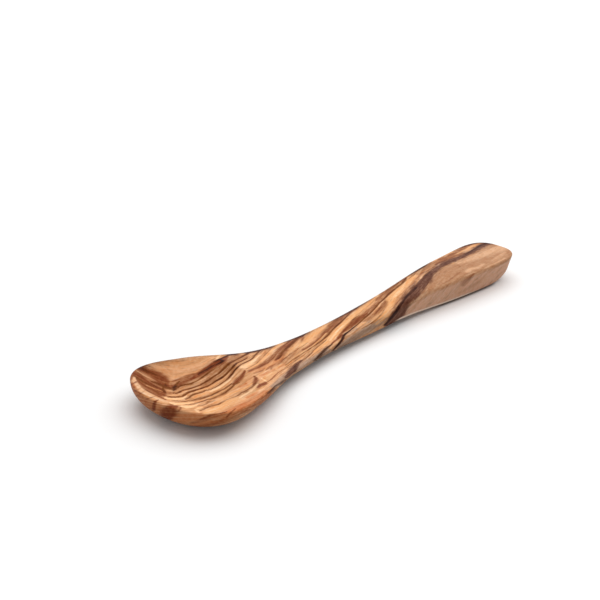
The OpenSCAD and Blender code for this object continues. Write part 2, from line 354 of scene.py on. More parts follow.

# %% [markdown]
# ## Growth layers laid out one by one
# A board shows its growth layers as lines. In olive wood they are crooked, so plain noise looks
# wrong. Here each layer is a line through a few places, [distance from the tip, distance across],
# and a thin plate bent over all of these gives every point of the wood a layer number. The layers
# lean in the blank, so a point's number is read where its layer reaches the height of the rim.

# %% Draw the growth layers
LAYERS = {
    0: [[9.9, 16.5], [9.9, 12], [11.1, 9], [10.6, 6.6], [11.9, 5.6], [14.4, 5.5], [18.4, 4.8],
        [21.4, 4.9], [23.4, 5.6], [24.7, 5.8], [26.4, 5.7], [28.9, 5.7], [30.4, 4.8]],
    1: [[8.3, 15.5], [7.8, 11.6], [7.8, 7.6], [8.2, 4.8], [9.7, 3.4], [11.4, 3.6], [14.4, 2.8],
        [16.3, 2.5], [19.4, 3.1], [21.9, 3.5], [24.4, 4.2], [26.4, 4.5], [29.4, 4.3], [31.3, 4]],
    2: [[6.7, 14.6], [6.5, 9.6], [6.4, 5.6], [6.7, 3.1], [6.9, 1.4], [8.5, 1.8], [10, 1.5], [11.3, 0.7],
        [13.3, 0.7], [15.3, 1], [18.3, 1.6], [21.3, 2.2], [23.3, 2.8], [25.3, 3.3], [28.3, 3.4],
        [32.3, 3.4]],
    3: [[5.5, 12.6], [5, 8.6], [4.6, 5.6], [4.7, 2.6], [5.3, 0.2], [6.3, -0.7], [7.8, -0.8],
        [9.3, -1.1], [11.3, -1.4], [13.3, -1.3], [15.3, -1], [17.3, -0.6], [19.3, -0.3], [21.3, 0.4],
        [23.3, 1.2], [24.8, 2], [26.3, 2.2], [28.3, 2.4], [31.3, 2.6], [33.3, 2.9]],
    4: [[3.9, 11.6], [3.4, 8.6], [3.2, 5.6], [3.1, 2.6], [3.2, 0.1], [3.9, -1.4], [4.8, -2.3],
        [5.8, -2.6], [7.3, -2.4], [9.3, -2.6], [11.3, -2.9], [13.3, -3.2], [15.3, -2.7], [17.3, -2.4],
        [19.3, -2], [21.3, -1.4], [23.3, -0.4], [25.3, 0.4], [26.8, 0.8], [29.3, 0.9], [32.3, 1.6],
        [35.3, 2.4]],
    5: [[1.8, 3.6], [2.1, 0.6], [2.5, -1.2], [3.5, -2.9], [4.7, -4.1], [6.2, -4.3], [8.3, -4],
        [9.7, -4.3], [11.7, -4.4], [13.7, -4.9], [15.2, -4.8], [17.2, -4.2], [19.3, -3.7], [21.3, -2.9],
        [23.3, -1.7], [25.3, -0.8], [26.3, -0.5], [29.3, -0.2], [32.3, 0.4], [35.3, 1.4], [37.3, 2]],
    6: [[1.9, -2.4], [3.4, -4.6], [4.7, -5.6], [6.2, -6], [8.2, -6.6], [10.2, -6.9], [12.2, -6.8],
        [14.2, -6.7], [16.2, -6.5], [18.2, -5.7], [20.2, -5], [22.2, -4.2], [24.2, -3.5], [26.2, -3.1],
        [29.2, -3], [32.2, -2.5], [35.3, -1.4], [38.3, -0.4], [41.3, 0.3], [44.3, 0.9]],
    7: [[2.6, -5.6], [4.7, -7.4], [6.7, -8], [8.7, -8.3], [11.2, -8.4], [13.2, -8.3], [15.2, -8],
        [17.2, -7.4], [19.2, -6.6], [21.2, -6.1], [23.2, -5.7], [25.2, -5.5], [29.2, -5.2],
        [33.2, -4.4], [37.2, -2.8], [41.2, -1.2], [45.2, 0.1], [48.2, 0.8]],
    8: [[3.2, -7.8], [4.7, -8.9], [6.2, -9.3], [8.2, -9.3], [9.7, -9.2], [12.2, -9.4], [15.2, -9.1],
        [18.2, -9.1], [21.2, -8.7], [24.2, -8], [28.2, -7.5], [32.2, -6.9], [36.2, -5.6], [40.2, -4],
        [44.2, -2.3], [48.2, -0.5], [51.2, 0.6]],
    9: [[3.6, -10.2], [5.1, -10.9], [7.1, -11.2], [9.1, -11.5], [11.1, -11.2], [14.1, -11.4],
        [17.1, -11.5], [19.1, -11.3], [21.1, -10.9], [24.1, -10.4], [29.1, -9.5], [34.2, -8.3],
        [39.2, -6.6], [44.2, -4.7], [49.2, -2.7], [54.2, -0.8], [57.2, 0.4]],
    10: [[6.1, -13.4], [11.1, -13.4], [16.1, -13.4], [21.1, -13], [26.1, -11.8], [31.1, -10.5],
         [36.1, -9.2], [41.1, -7.5], [46.2, -5.7], [51.2, -3.7], [56.2, -2], [61.1, -0.2], [65.1, 1.2]],
    11: [[9.1, -15.4], [15.1, -15.6], [21.1, -14.5], [27.1, -12.9], [33.1, -11.3], [39.1, -9.6],
         [45.1, -7.6], [51.1, -5.5], [57.1, -3.6], [63.1, -1.6], [69.1, 0.3], [73.1, 1.9]],
    12: [[35.1, -12.2], [41.1, -10.4], [45.1, -9.2], [51.1, -7.2], [57.1, -5.4], [63.1, -3.6],
         [69.1, -1.9], [75.1, 0.1], [81, 2.2], [85, 3.7]],
    13: [[44.1, -10.6], [49.1, -9.3], [52.1, -8.2], [56.1, -6.7], [61.1, -5.7], [67.1, -4], [73, -2.3],
         [79, -0.4], [85, 1.6], [90.9, 3.5], [96.9, 5.5]],
    14: [[56.1, -9.2], [62, -7.8], [68, -6.1], [74, -4.2], [79, -2.1], [84, 0], [88.9, 1.6],
         [94.9, 3.7], [100.9, 5.6], [106.8, 7.2]],
    15: [[63, -10], [69, -8], [75, -6.1], [79, -4.7], [82.9, -3], [86.9, -1.5], [90.9, 0], [94.9, 1.5],
         [98.9, 3.3], [103.8, 4.7], [108.8, 5.8], [116.7, 6.2], [124.6, 6.1]],
    16: [[70.9, -10.8], [76.9, -8.7], [82.9, -6.3], [86.9, -5], [90.9, -3.4], [94.9, -1.7], [98.8, 0.1],
         [102.8, 1.7], [106.8, 2.3], [112.7, 2.6], [120.6, 2.9], [128.5, 3.6]],
    17: [[78.9, -10.7], [84.9, -8.5], [90.8, -6.4], [96.8, -4], [102.8, -1.9], [108.7, -0.6],
         [116.6, 0.3], [126.5, 0.7]],
    18: [[86.8, -11.3], [92.8, -9], [98.8, -6.8], [104.7, -4.7], [110.7, -3.2], [118.6, -2.2],
         [128.4, -1.8]],
    19: [[94.7, -12.6], [101.7, -9.6], [107.6, -7.7], [113.6, -6.2], [120.5, -5.2], [128.4, -4.8]],
}
print(len(LAYERS), "layers drawn by hand")

# %% Number the wood between them
RIM_PLANE = 7
LEAN_ALONG, LEAN_ACROSS, LEAN_FAN = 1.65, 1.46, 161  # mm per mm of height, and mm


def rim_place(place):
    """Where the layer through each point reaches the rim's height: x + rise (lean + x / fan), and
    the same across, so the lean grows a little towards the handle's end and the far side."""
    x, y, z = place.T
    rise = z - RIM_PLANE
    at_x = x + rise * (LEAN_ALONG + x / LEAN_FAN)
    at_y = y + rise * (LEAN_ACROSS + y / LEAN_FAN)
    return np.stack([at_x + LENGTH / 2, at_y], -1)


def plate(knots, values, places, soft=0.3):
    """Thin plate through the knots: plane + sum of weight r^2 log r, with a little give."""
    def bend(r2):
        return r2 * np.log(np.maximum(r2, 1e-9)) / 2

    n = len(knots)
    gap = ((knots[:, None] - knots[None]) ** 2).sum(-1)
    plane = np.column_stack([np.ones(n), knots])
    system = np.zeros((n + 3, n + 3))
    system[:n, :n] = bend(gap) + soft * np.eye(n)
    system[:n, n:], system[n:, :n] = plane, plane.T
    weights = np.linalg.solve(system, np.concatenate([values, np.zeros(3)]))
    result = np.column_stack([np.ones(len(places)), places]) @ weights[n:]
    for knot, weight in zip(knots, weights):
        result += weight * bend(((places - knot) ** 2).sum(-1))
    return result


knots = np.array([place for line in LAYERS.values() for place in line], float)
numbers = np.repeat(list(LAYERS), [len(line) for line in LAYERS.values()]).astype(float)
wood_place = rim_place(points)
layer = plate(knots, numbers, wood_place)
print(len(knots), "knots; layer numbers from", round(layer.min(), 1), "to", round(layer.max(), 1))

# %% [markdown]
# ## Veins, patches and streaks
# Olive heartwood has dark veins, brown patches and pale golden streaks between the growth lines. A
# painter would lay them with a brush, and so does this: each is a stroke, with a strength and a path
# of [distance from the tip, distance across, half width]. The strength falls off smoothly across
# the path, as ink bleeds into wood.

# %% Define a stroke
def stroke(places, path, strength=1.0):
    """strength exp(-0.7 (distance to the path / its half width there)^2.5): a bell, flat-topped."""
    path = np.array(path, float)
    nearest = np.full(len(places), 1e9)
    for a, b in zip(path[:-1], path[1:]):
        run = b[:2] - a[:2]
        t = np.clip((places - a[:2]) @ run / (run @ run), 0, 1)
        off = np.hypot(*(places - a[:2] - t[:, None] * run).T) / mix(a[2], b[2], t)
        nearest = np.minimum(nearest, off)
    return strength * np.exp(-0.7 * nearest ** 2.5)


def strokes(paths):
    """The strongest stroke at each point."""
    return np.max([stroke(wood_place, path, strength) for strength, path in paths], axis=0)


STROKES = {}
at_half = stroke(np.zeros((1, 2)), [[0, 1, 1], [1, 1, 1]])[0]
print("a stroke keeps", round(float(at_half), 2), "of its strength at its half width")

# %% [markdown]
# ### Broad colours
# The pale and greyed wood of the handle, the brown wood round the knot, the orange-brown wood of
# the hull and the rim's pale front come first, because the finer marks run over them.

# %% Lay the pale, tan and grey wood
# The pale strokes are paler sapwood, and painted highlights along the handle's upper near arris
STROKES["pale"] = [  # paler sapwood
    (0.9, [[113, 1.4, 1], [118, 1, 1.5], [124, 0.4, 2], [130, -0.4, 2]]),
    (0.8, [[109.6, -4.2, 0.7], [112, -3.6, 0.8], [114, -4.7, 0.7], [117, -4, 0.5]]),
    (0.6, [[120, -4.6, 0.6], [124, -4, 0.8], [128, -3.2, 0.7]]),
    # painted highlights along the handle's upper near arris, in this stroke and the next
    (0.7, [[107.6, -5.7, 0.25], [111, -5.9, 0.3]]),
    (0.7, [[115, -6.2, 0.35], [118, -6.1, 0.4], [121, -6.1, 0.35], [124.6, -5.8, 0.3]]),
    (0.5, [[85, -6.4, 0.5], [88, -5.8, 0.7], [91, -4.9, 0.6]]),
    (0.4, [[96, -6, 0.4], [99, -5.2, 0.5], [103, -5.4, 0.4]]),
    (0.5, [[106.5, -11.8, 0.6], [108.5, -11, 0.5], [110, -10.4, 0.4]]),
]
STROKES["tan"] = [  # greyish wood between the dark lines, and the pale sapwood's borders
    (0.9, [[10.5, 2.6, 1.4], [14, 2.2, 1.4], [18, 1.6, 1.6], [22, 1.8, 1.8], [26, 2.8, 1.9],
           [29.5, 3.6, 1.3]]),
    (0.7, [[11, -0.4, 0.8], [15, -0.6, 0.9], [19, 0.6, 1], [23, 1.2, 0.8], [27, 1.4, 0.7],
           [31, 1.4, 0.6]]),
    (0.9, [[13, -2.1, 0.6], [16, -1.8, 0.6], [20, -0.9, 0.6], [24, 0.4, 0.5]]),
    (0.5, [[5.6, -0.8, 0.5], [7.6, -1.6, 0.4], [10, -1.9, 0.4]]),
    (0.8, [[5.4, 0.6, 0.9], [7.4, 0.4, 0.9], [10, 0.2, 0.9], [13, -0.2, 0.8]]),
    (0.9, [[66, -5.6, 0.8], [70, -4.6, 0.9], [74, -3.6, 0.8], [77, -2.6, 0.7], [79.5, -1.6, 0.4]]),
    (1.0, [[99, 4.2, 0.6], [104, 5, 1.2], [108, 5.6, 1.3], [112, 5.9, 1.3], [118, 5.8, 1],
           [122, 6.6, 0.8]]),
    (0.6, [[34, -7, 1.6], [38, -6.6, 1.6], [42, -6, 1.2], [46, -5.6, 1], [50, -5, 0.7],
           [53, -4.4, 0.4]]),
    (0.5, [[50, -3, 0.4], [54, -1.9, 0.6], [58, -1, 0.6]]),
]
STROKES["grey"] = [  # greyed wood on the near side of the neck and the waist
    (0.9, [[24, -14.2, 0.8], [28, -13, 0.9], [33, -11.8, 1.1], [38, -11, 1.2], [42, -10.8, 1],
           [47, -10.4, 0.9]]),
    (0.9, [[50, -11, 1], [54, -10.3, 1.2], [59, -9.6, 1.5], [63, -9.2, 1.4], [67, -9, 1.1],
           [71, -8, 0.6]]),
    (0.5, [[56, -6.9, 0.5], [60, -6.9, 0.7], [64, -6.6, 0.7], [67, -6.2, 0.5]]),
]
print({name: len(STROKES[name]) for name in ["pale", "tan", "grey"]})

# %% Lay the brown wood
STROKES["brown"] = [  # the brown wood round the knot and other broad brown bands
    (1.0, [[9.3, 17, 1.2], [9.2, 13.6, 1.3], [9.4, 10.6, 1.6], [8.9, 8, 1.8], [8, 6.2, 1.8],
           [7.2, 3.6, 1.6]]),
    (1.0, [[6, 15, 1.6], [5.6, 12, 1.5], [4.9, 9, 1.6], [4.4, 6, 1.7], [4.2, 3.6, 1.7], [3.6, 1.4, 1]]),
    (0.8, [[2.6, 6, 0.5], [2.5, 2, 0.5], [2.4, -1, 0.3]]),
    (0.3, [[-2.6, -2, 1.8], [-1.2, 2, 1.5], [0, 6, 1.1], [1.8, 9.8, 0.8], [3.6, 12.8, 0.6]]),
    (0.45, [[-2, -16.5, 2], [3, -18, 1.6], [8, -18.2, 1.3], [13, -17.8, 1.2], [18, -17, 1.2],
            [23, -15.4, 1.2]]),
    (0.6, [[9.5, 5, 0.6], [11.5, 4.2, 1], [13.5, 3.8, 1], [15.5, 3.9, 0.8]]),
    (0.7, [[7.4, 3, 1.3], [9.2, 2.6, 1], [11.4, 2.4, 0.8], [13, 2.2, 0.6]]),
    (0.9, [[34.4, -4.7, 0.3], [36, -4.2, 0.6], [38, -3.3, 0.8], [40, -2.4, 0.8], [42, -1.6, 0.75],
           [44, -0.9, 0.7], [46, -0.3, 0.6], [48, 0.2, 0.5]]),
    (0.75, [[26, -4.3, 0.5], [29, -4.5, 0.6], [32, -4, 0.7], [34, -3.5, 0.8], [36, -2.9, 0.8],
            [38, -2, 0.7], [40, -1.1, 0.7], [42, -0.6, 0.6], [44.5, 0.1, 0.4]]),
    (0.45, [[26, -6.2, 0.5], [30, -6.6, 0.7], [34, -6.5, 0.6], [37, -5.8, 0.5], [40, -5, 0.4],
            [43, -4.1, 0.3]]),
    (0.6, [[30.2, -7.4, 0.3], [31, -6.6, 0.35], [32, -6.2, 0.2]]),
    (0.7, [[45.6, -2.8, 0.2], [47, -1.6, 0.45], [48.7, -0.3, 0.4]]),
    (0.75, [[43, -5.7, 0.4], [46, -5.3, 0.4], [49, -4.7, 0.45], [52, -3.6, 0.6], [55, -2.5, 0.7],
            [58, -1.3, 0.9], [61, -0.4, 1], [64, 0.5, 1], [67, 1.2, 0.8], [70, 1.9, 0.7],
            [72.5, 2.4, 0.4]]),
    (1.0, [[54, -7, 0.2], [56.5, -6, 0.35], [58.5, -5.3, 0.6], [60.5, -4.8, 0.9], [63, -4.1, 1],
           [65.5, -3.5, 0.95], [68, -3, 0.75], [70, -2.6, 0.4]]),
    (0.6, [[68, -2.8, 0.8], [70.5, -2.2, 0.8], [73, -1.5, 0.75], [75.5, -0.6, 0.65], [78, 0.3, 0.5],
           [80, 1, 0.5]]),
    (0.6, [[78, 1, 0.5], [81, 1.9, 0.7], [84, 2.6, 0.9], [87, 3.3, 0.9], [90, 4, 0.7], [92.5, 4.7, 0.6],
           [95, 5.4, 0.3]]),
    (0.6, [[70.5, -4.7, 0.2], [72.5, -3.8, 0.3], [75, -2.8, 0.4], [77.5, -1.8, 0.45],
           [79.4, -0.9, 0.3]]),
    (0.5, [[77, -5.7, 0.3], [79.5, -4.4, 0.4], [82, -3.3, 0.5], [84.5, -2.3, 0.5], [87, -1.3, 0.5],
           [89.5, -0.3, 0.5], [92, 0.7, 0.5], [95, 1.9, 0.4], [98, 3.1, 0.4], [101, 4.1, 0.4]]),
    (0.6, [[111, 6.9, 0.5], [115, 6.8, 0.5], [119, 7, 0.6], [123, 7.6, 0.7], [127, 7.8, 0.6]]),
    (0.5, [[108, 5.3, 0.5], [112, 5.5, 0.6], [116, 5.2, 0.6], [119, 5, 0.3]]),
    (0.3, [[98, -4.7, 0.3], [101, -4.4, 0.4], [104, -3.8, 0.4], [107, -3, 0.5], [108.8, -3.2, 0.3]]),
    (0.5, [[101, -9.4, 0.6], [104, -8, 0.9], [107, -7.1, 0.8], [110, -6.3, 0.4]]),
    (0.3, [[96, -11.8, 0.6], [101, -11.2, 0.8], [106, -10.8, 0.7]]),
]
print("broad brown bands:", len(STROKES["brown"]))

# %% Lay the amber hull and the pale front of the rim
STROKES["amber"] = [  # orange-brown wood of the hull, cut through obliquely
    (1.0, [[-2, -4.4, 1.4], [-1.6, -2, 1.8], [-2, 1, 2], [-1.6, 4, 1.8], [0.4, 8, 1.2],
           [2.4, 11, 0.8]]),
    (1.0, [[-3, -8, 2.5], [-1, -10.5, 2.6], [1.4, -12, 2], [2.6, -12.8, 1.4]]),
    (1.0, [[-1, -15.5, 2.6], [4, -16.6, 2.2], [9, -16.6, 1.6], [14, -16.6, 1.5], [20, -16.6, 1.6]]),
    (0.85, [[7.5, -14.9, 0.5], [10, -15.1, 0.8], [13, -15.4, 0.9], [17, -15.6, 0.9], [21, -15, 1]]),
    (0.7, [[16, -13.6, 0.5], [18, -13.8, 0.6], [19.6, -13.5, 0.5]]),
    (0.7, [[18.4, -8.8, 0.3], [20.2, -9, 0.6], [20.8, -8.4, 0.3]]),
    (0.6, [[25.6, -5, 0.7], [28, -5.4, 1.3], [31, -5.8, 1.5], [34, -5.4, 1.2], [37, -4.4, 0.8]]),
    (0.6, [[26, -8, 0.5], [30, -8.1, 0.7], [34, -8, 0.6]]),
]
STROKES["rim"] = [  # the pale front of the rim
    (1.0, [[5.1, 12.9, 0.3], [4, 11.6, 0.45], [3.2, 9.9, 0.45], [2.4, 8, 0.55], [1.8, 6.2, 0.65],
           [1.5, 3.6, 0.65], [1.4, 1.2, 0.65], [1.6, -0.6, 0.55], [1.9, -2.2, 0.35]]),
]
print({name: len(STROKES[name]) for name in ["amber", "rim"]})

# %% [markdown]
# ### Patches and streaks
# Rust-brown patches cross the layers where the wood was stressed. Golden and peach streaks are the
# soft early wood between two dark lines, so their paths follow the growth layers.

# %% Lay the rust-brown patches
STROKES["rust"] = [  # deep rust-brown patches
    (1.0, [[-3.2, -7.8, 1.4], [-1.8, -6.6, 2], [-0.4, -5.4, 1.9], [0.8, -4.7, 1.5], [1.6, -5, 0.9]]),
    (0.7, [[0.6, -7.2, 0.3], [1.6, -6.8, 0.4], [2.3, -6.2, 0.3]]),
    (0.85, [[-2.8, -2.9, 0.4], [-1.8, -1.8, 0.45], [-0.8, -0.8, 0.45], [0.4, 0.2, 0.4],
            [1.2, 0.1, 0.2]]),
    (0.5, [[-1.6, 5.2, 0.3], [0, 5.3, 0.4], [1.2, 5.6, 0.3], [2.1, 5.8, 0.2]]),
    (0.5, [[0.6, 8.9, 0.3], [2, 9, 0.25], [3, 9.1, 0.2]]),
    (0.8, [[1, 10.2, 0.3], [2.4, 10.5, 0.3], [4, 10.7, 0.28]]),
    (0.6, [[0.2, 7.3, 0.25], [1.4, 7.4, 0.2], [2.4, 7.5, 0.15]]),
    (0.6, [[-0.4, 2.4, 0.25], [0.9, 2.2, 0.3], [2, 2, 0.2]]),
    (0.55, [[3, 12.4, 0.4], [4.4, 13, 0.4], [5.2, 13, 0.3]]),
    (0.85, [[18.4, -6.7, 0.4], [20, -6.1, 0.85], [21.4, -5.6, 0.9], [22.8, -5, 0.6], [24.2, -4.2, 0.4],
            [25.3, -3.5, 0.25]]),
    (0.75, [[21.4, -10.4, 0.4], [22.4, -9.7, 0.6], [23.6, -8.9, 0.75], [24.4, -8, 0.5],
            [24.8, -7, 0.2]]),
    (0.8, [[1.6, -13.7, 0.4], [3, -13.8, 0.6], [4.4, -13.9, 0.6], [5.6, -14.4, 0.35], [7, -15, 0.3],
           [8, -15.2, 0.2]]),
    (0.5, [[-1, -13.4, 0.5], [0.5, -14, 0.9], [3, -14.8, 0.9], [5, -15.4, 0.9], [7, -15.9, 0.5]]),
    (0.7, [[6, -17.2, 0.25], [7.5, -16.5, 0.35], [9, -16, 0.3], [10.4, -15.6, 0.2]]),
    (1.0, [[13.4, 2.3, 0.4], [15.2, 2.6, 0.7], [16.8, 3, 0.9], [18.6, 3.3, 1], [20.5, 3.8, 1.1],
           [22.4, 4.2, 1.25], [24.2, 4.4, 1.4], [25.8, 4.6, 1.1], [27.4, 5, 0.6]]),
    (0.85, [[21.4, -11.8, 0.5], [22.6, -11.5, 0.8], [23.7, -11.6, 0.7], [24.4, -11.3, 0.3]]),
    (0.6, [[24.4, -11.5, 0.2], [26.5, -11.2, 0.3], [28.5, -10.4, 0.25], [30, -9.9, 0.2],
           [33, -9.6, 0.2], [35, -9.9, 0.25], [37, -9.4, 0.2]]),
    (0.8, [[50.4, -8.3, 0.2], [52, -7.9, 0.4], [54, -7.4, 0.45], [56, -6.8, 0.35]]),
]
print("rust-brown patches:", len(STROKES["rust"]))

# %% Lay the golden and peach streaks
STROKES["gold"] = [  # pale golden streaks
    (0.9, [[3.8, -12.2, 0.3], [5.2, -12.2, 0.9], [7, -12.4, 0.95], [9.5, -12.5, 1], [12, -12.4, 0.95],
           [14.5, -12.7, 0.5]]),
    (0.8, [[9.2, -7.75, 0.2], [10.5, -7.75, 0.28], [12, -7.85, 0.25], [13.5, -7.6, 0.25],
           [15, -7.4, 0.25], [16.6, -7, 0.2]]),
    (0.7, [[8.4, -10.2, 0.2], [9.6, -10.5, 0.35], [11, -10.4, 0.3], [13, -10.5, 0.3]]),
    (0.9, [[10.6, -9.7, 0.2], [12.3, -9.7, 0.3], [14, -9.7, 0.35], [16, -9.9, 0.3], [18, -10, 0.3],
           [20, -9.9, 0.25], [21.6, -9.4, 0.2]]),
    (0.6, [[7.4, -5.2, 0.4], [9, -5.3, 0.5], [11, -5.4, 0.5], [12.5, -5.6, 0.4]]),
    (0.6, [[9.4, -3.35, 0.2], [10.6, -3.5, 0.3], [12, -3.8, 0.25], [13.4, -4, 0.2], [15, -3.8, 0.22],
           [16.8, -3.4, 0.2], [18.6, -3.1, 0.15]]),
    (0.6, [[4.3, 8, 0.12], [4.35, 6, 0.2], [4.5, 4, 0.22], [4.7, 2.6, 0.15]]),
    (0.5, [[6.4, -7, 0.15], [7.5, -7.2, 0.2], [8.6, -7.6, 0.2]]),
    (0.5, [[6, -1.5, 0.2], [7.4, -1.5, 0.25], [8.6, -1.5, 0.2]]),
    (0.5, [[6.4, 0.1, 0.2], [8, 0.2, 0.3], [9.6, 0.3, 0.25], [11, -0.3, 0.2], [14, -0.5, 0.2]]),
    (0.9, [[27, -3.5, 0.15], [30, -3.2, 0.2], [32, -2.6, 0.25], [34, -1.9, 0.25], [36, -1, 0.3],
           [38, -0.2, 0.35], [40, 0.4, 0.35], [42.5, 0.7, 0.3]]),
    (0.6, [[25.4, -7.6, 0.15], [28, -7, 0.2], [30, -6, 0.2], [33, -5.2, 0.2]]),
    (0.7, [[30.8, -8.3, 0.3], [32.2, -7.7, 0.3], [34, -7.4, 0.2]]),
    (0.7, [[25.6, -9.6, 0.3], [27.6, -9, 0.4], [30, -8.9, 0.3]]),
    (0.7, [[33.5, -8.7, 0.25], [36, -8, 0.3], [38.5, -7.2, 0.3], [41, -6.7, 0.3], [43.5, -6.2, 0.25],
           [46, -5.9, 0.2], [48.5, -5.1, 0.2], [51, -4.3, 0.2], [54, -3.2, 0.2]]),
    (0.35, [[7.5, 2.9, 0.3], [7.9, 3.5, 0.4], [8.5, 4.2, 0.4], [9.3, 4.9, 0.3], [10.2, 5.4, 0.2]]),
    (0.5, [[40.8, -2.9, 0.4], [42.4, -3, 0.6], [44, -2.8, 0.5]]),
    (0.8, [[44, -3.6, 0.5], [47, -2.8, 0.8], [50, -1.8, 1], [52.5, -1, 1.1], [55, -0.4, 0.9],
           [57, 0.1, 0.5]]),
    (1.0, [[44, -8.3, 0.3], [46, -7.9, 0.4], [48.5, -7.3, 0.6], [51, -6.5, 0.8], [53.5, -5.6, 0.95],
           [56, -4.7, 0.95], [58.5, -3.7, 0.85], [60.5, -3, 0.85], [63, -2.1, 0.75], [66, -1.1, 0.75],
           [69, -0.3, 0.65], [72, 0.5, 0.65], [75, 1.3, 0.55], [78, 2.2, 0.4], [81, 3.1, 0.3]]),
    (0.9, [[69.5, -7, 0.2], [71.5, -6.5, 0.3], [73.5, -5.9, 0.45], [75.5, -5.1, 0.6], [77.5, -4.1, 0.7],
           [79.5, -2.7, 0.85], [81, -1.4, 1.1], [83, -0.2, 1.3], [85, 0.5, 1.3], [87.5, 1.4, 1.2],
           [90, 2.2, 1.1], [92.5, 2.9, 0.9], [95, 3.6, 0.75], [97.5, 4.3, 0.6]]),
    (0.6, [[62, -6.6, 0.4], [64, -6.2, 0.45], [66, -5.9, 0.3]]),
    (0.7, [[66.5, -8.8, 0.4], [69.5, -8.2, 0.5], [71.5, -7.5, 0.4], [73.5, -6.8, 0.3]]),
    (0.7, [[94.6, 5.4, 0.3], [97, 5.7, 0.5], [100, 6.2, 0.5], [103, 6.5, 0.5], [106, 6.9, 0.4],
           [108, 7.4, 0.4]]),
    (0.4, [[98, 4.1, 0.2], [101, 4.8, 0.2], [104, 4.7, 0.2], [107, 4.9, 0.2]]),
    (0.6, [[118, 5.9, 0.25], [122, 6.1, 0.4], [126, 6.2, 0.4], [129.4, 6.6, 0.4]]),
    (0.6, [[112, 7.9, 0.3], [115.5, 7.9, 0.35], [118, 7.7, 0.25]]),
]
STROKES["peach"] = [  # the palest wood, on the rim and in bright flecks
    (1.0, [[2.9, -0.3, 0.25], [3.3, -1.5, 0.35], [4, -2.5, 0.4], [4.9, -3.3, 0.38], [5.9, -3.5, 0.25],
           [7, -3.2, 0.15]]),
    (1.0, [[2.2, -2.8, 0.25], [2.6, -4.3, 0.5], [3.4, -5.2, 0.45], [4.6, -6.2, 0.35],
           [5.7, -6.7, 0.2]]),
    (1.0, [[2.8, -6.1, 0.3], [3.4, -7.3, 0.55], [4.4, -8, 0.4], [5.6, -8.2, 0.25]]),
    (0.9, [[3.9, -9.4, 0.3], [4.6, -9.5, 0.35], [5.6, -9.9, 0.2]]),
    (0.8, [[3.6, -10, 0.25], [3.5, -11, 0.2]]),
    (0.9, [[12.2, -5.6, 0.35], [14, -5.6, 0.5], [15.5, -5.5, 0.45], [17, -5.1, 0.38], [18.5, -4.7, 0.3],
           [20, -4.3, 0.2]]),
    (1.0, [[14.6, -12.6, 0.25], [16.6, -12.3, 0.3], [18.5, -11.95, 0.28], [20, -11.5, 0.25],
           [21.3, -11, 0.3], [22.3, -10.7, 0.2]]),
    (0.75, [[25.9, -1.6, 0.6], [27, -1.8, 0.9], [28.5, -1.7, 0.85], [30, -1.3, 0.6], [31.5, -0.8, 0.35],
            [33.5, -0.1, 0.25]]),
    (0.8, [[24.9, -10.8, 0.3], [25, -9.9, 0.3], [25.1, -9.2, 0.2]]),
    (0.8, [[25.3, 6, 0.35], [26, 6.4, 0.35], [27, 6.8, 0.3]]),
    (0.8, [[51, -6.9, 0.2], [53, -6.1, 0.3], [55, -5.2, 0.3], [57.5, -4, 0.3], [60, -3.2, 0.2]]),
    (0.7, [[83, -0.9, 0.4], [85.5, 0.2, 0.5], [88, 1.2, 0.4], [91, 2.4, 0.3]]),
]
print({name: len(STROKES[name]) for name in ["gold", "peach"]})

# %% [markdown]
# ### Dark lines, veins and the band
# The growth lines stand out most in the hollow, where the knife cut through them at a low angle.
# Veins nearly black bound the brown wood, and one purple-brown band crosses the handle.

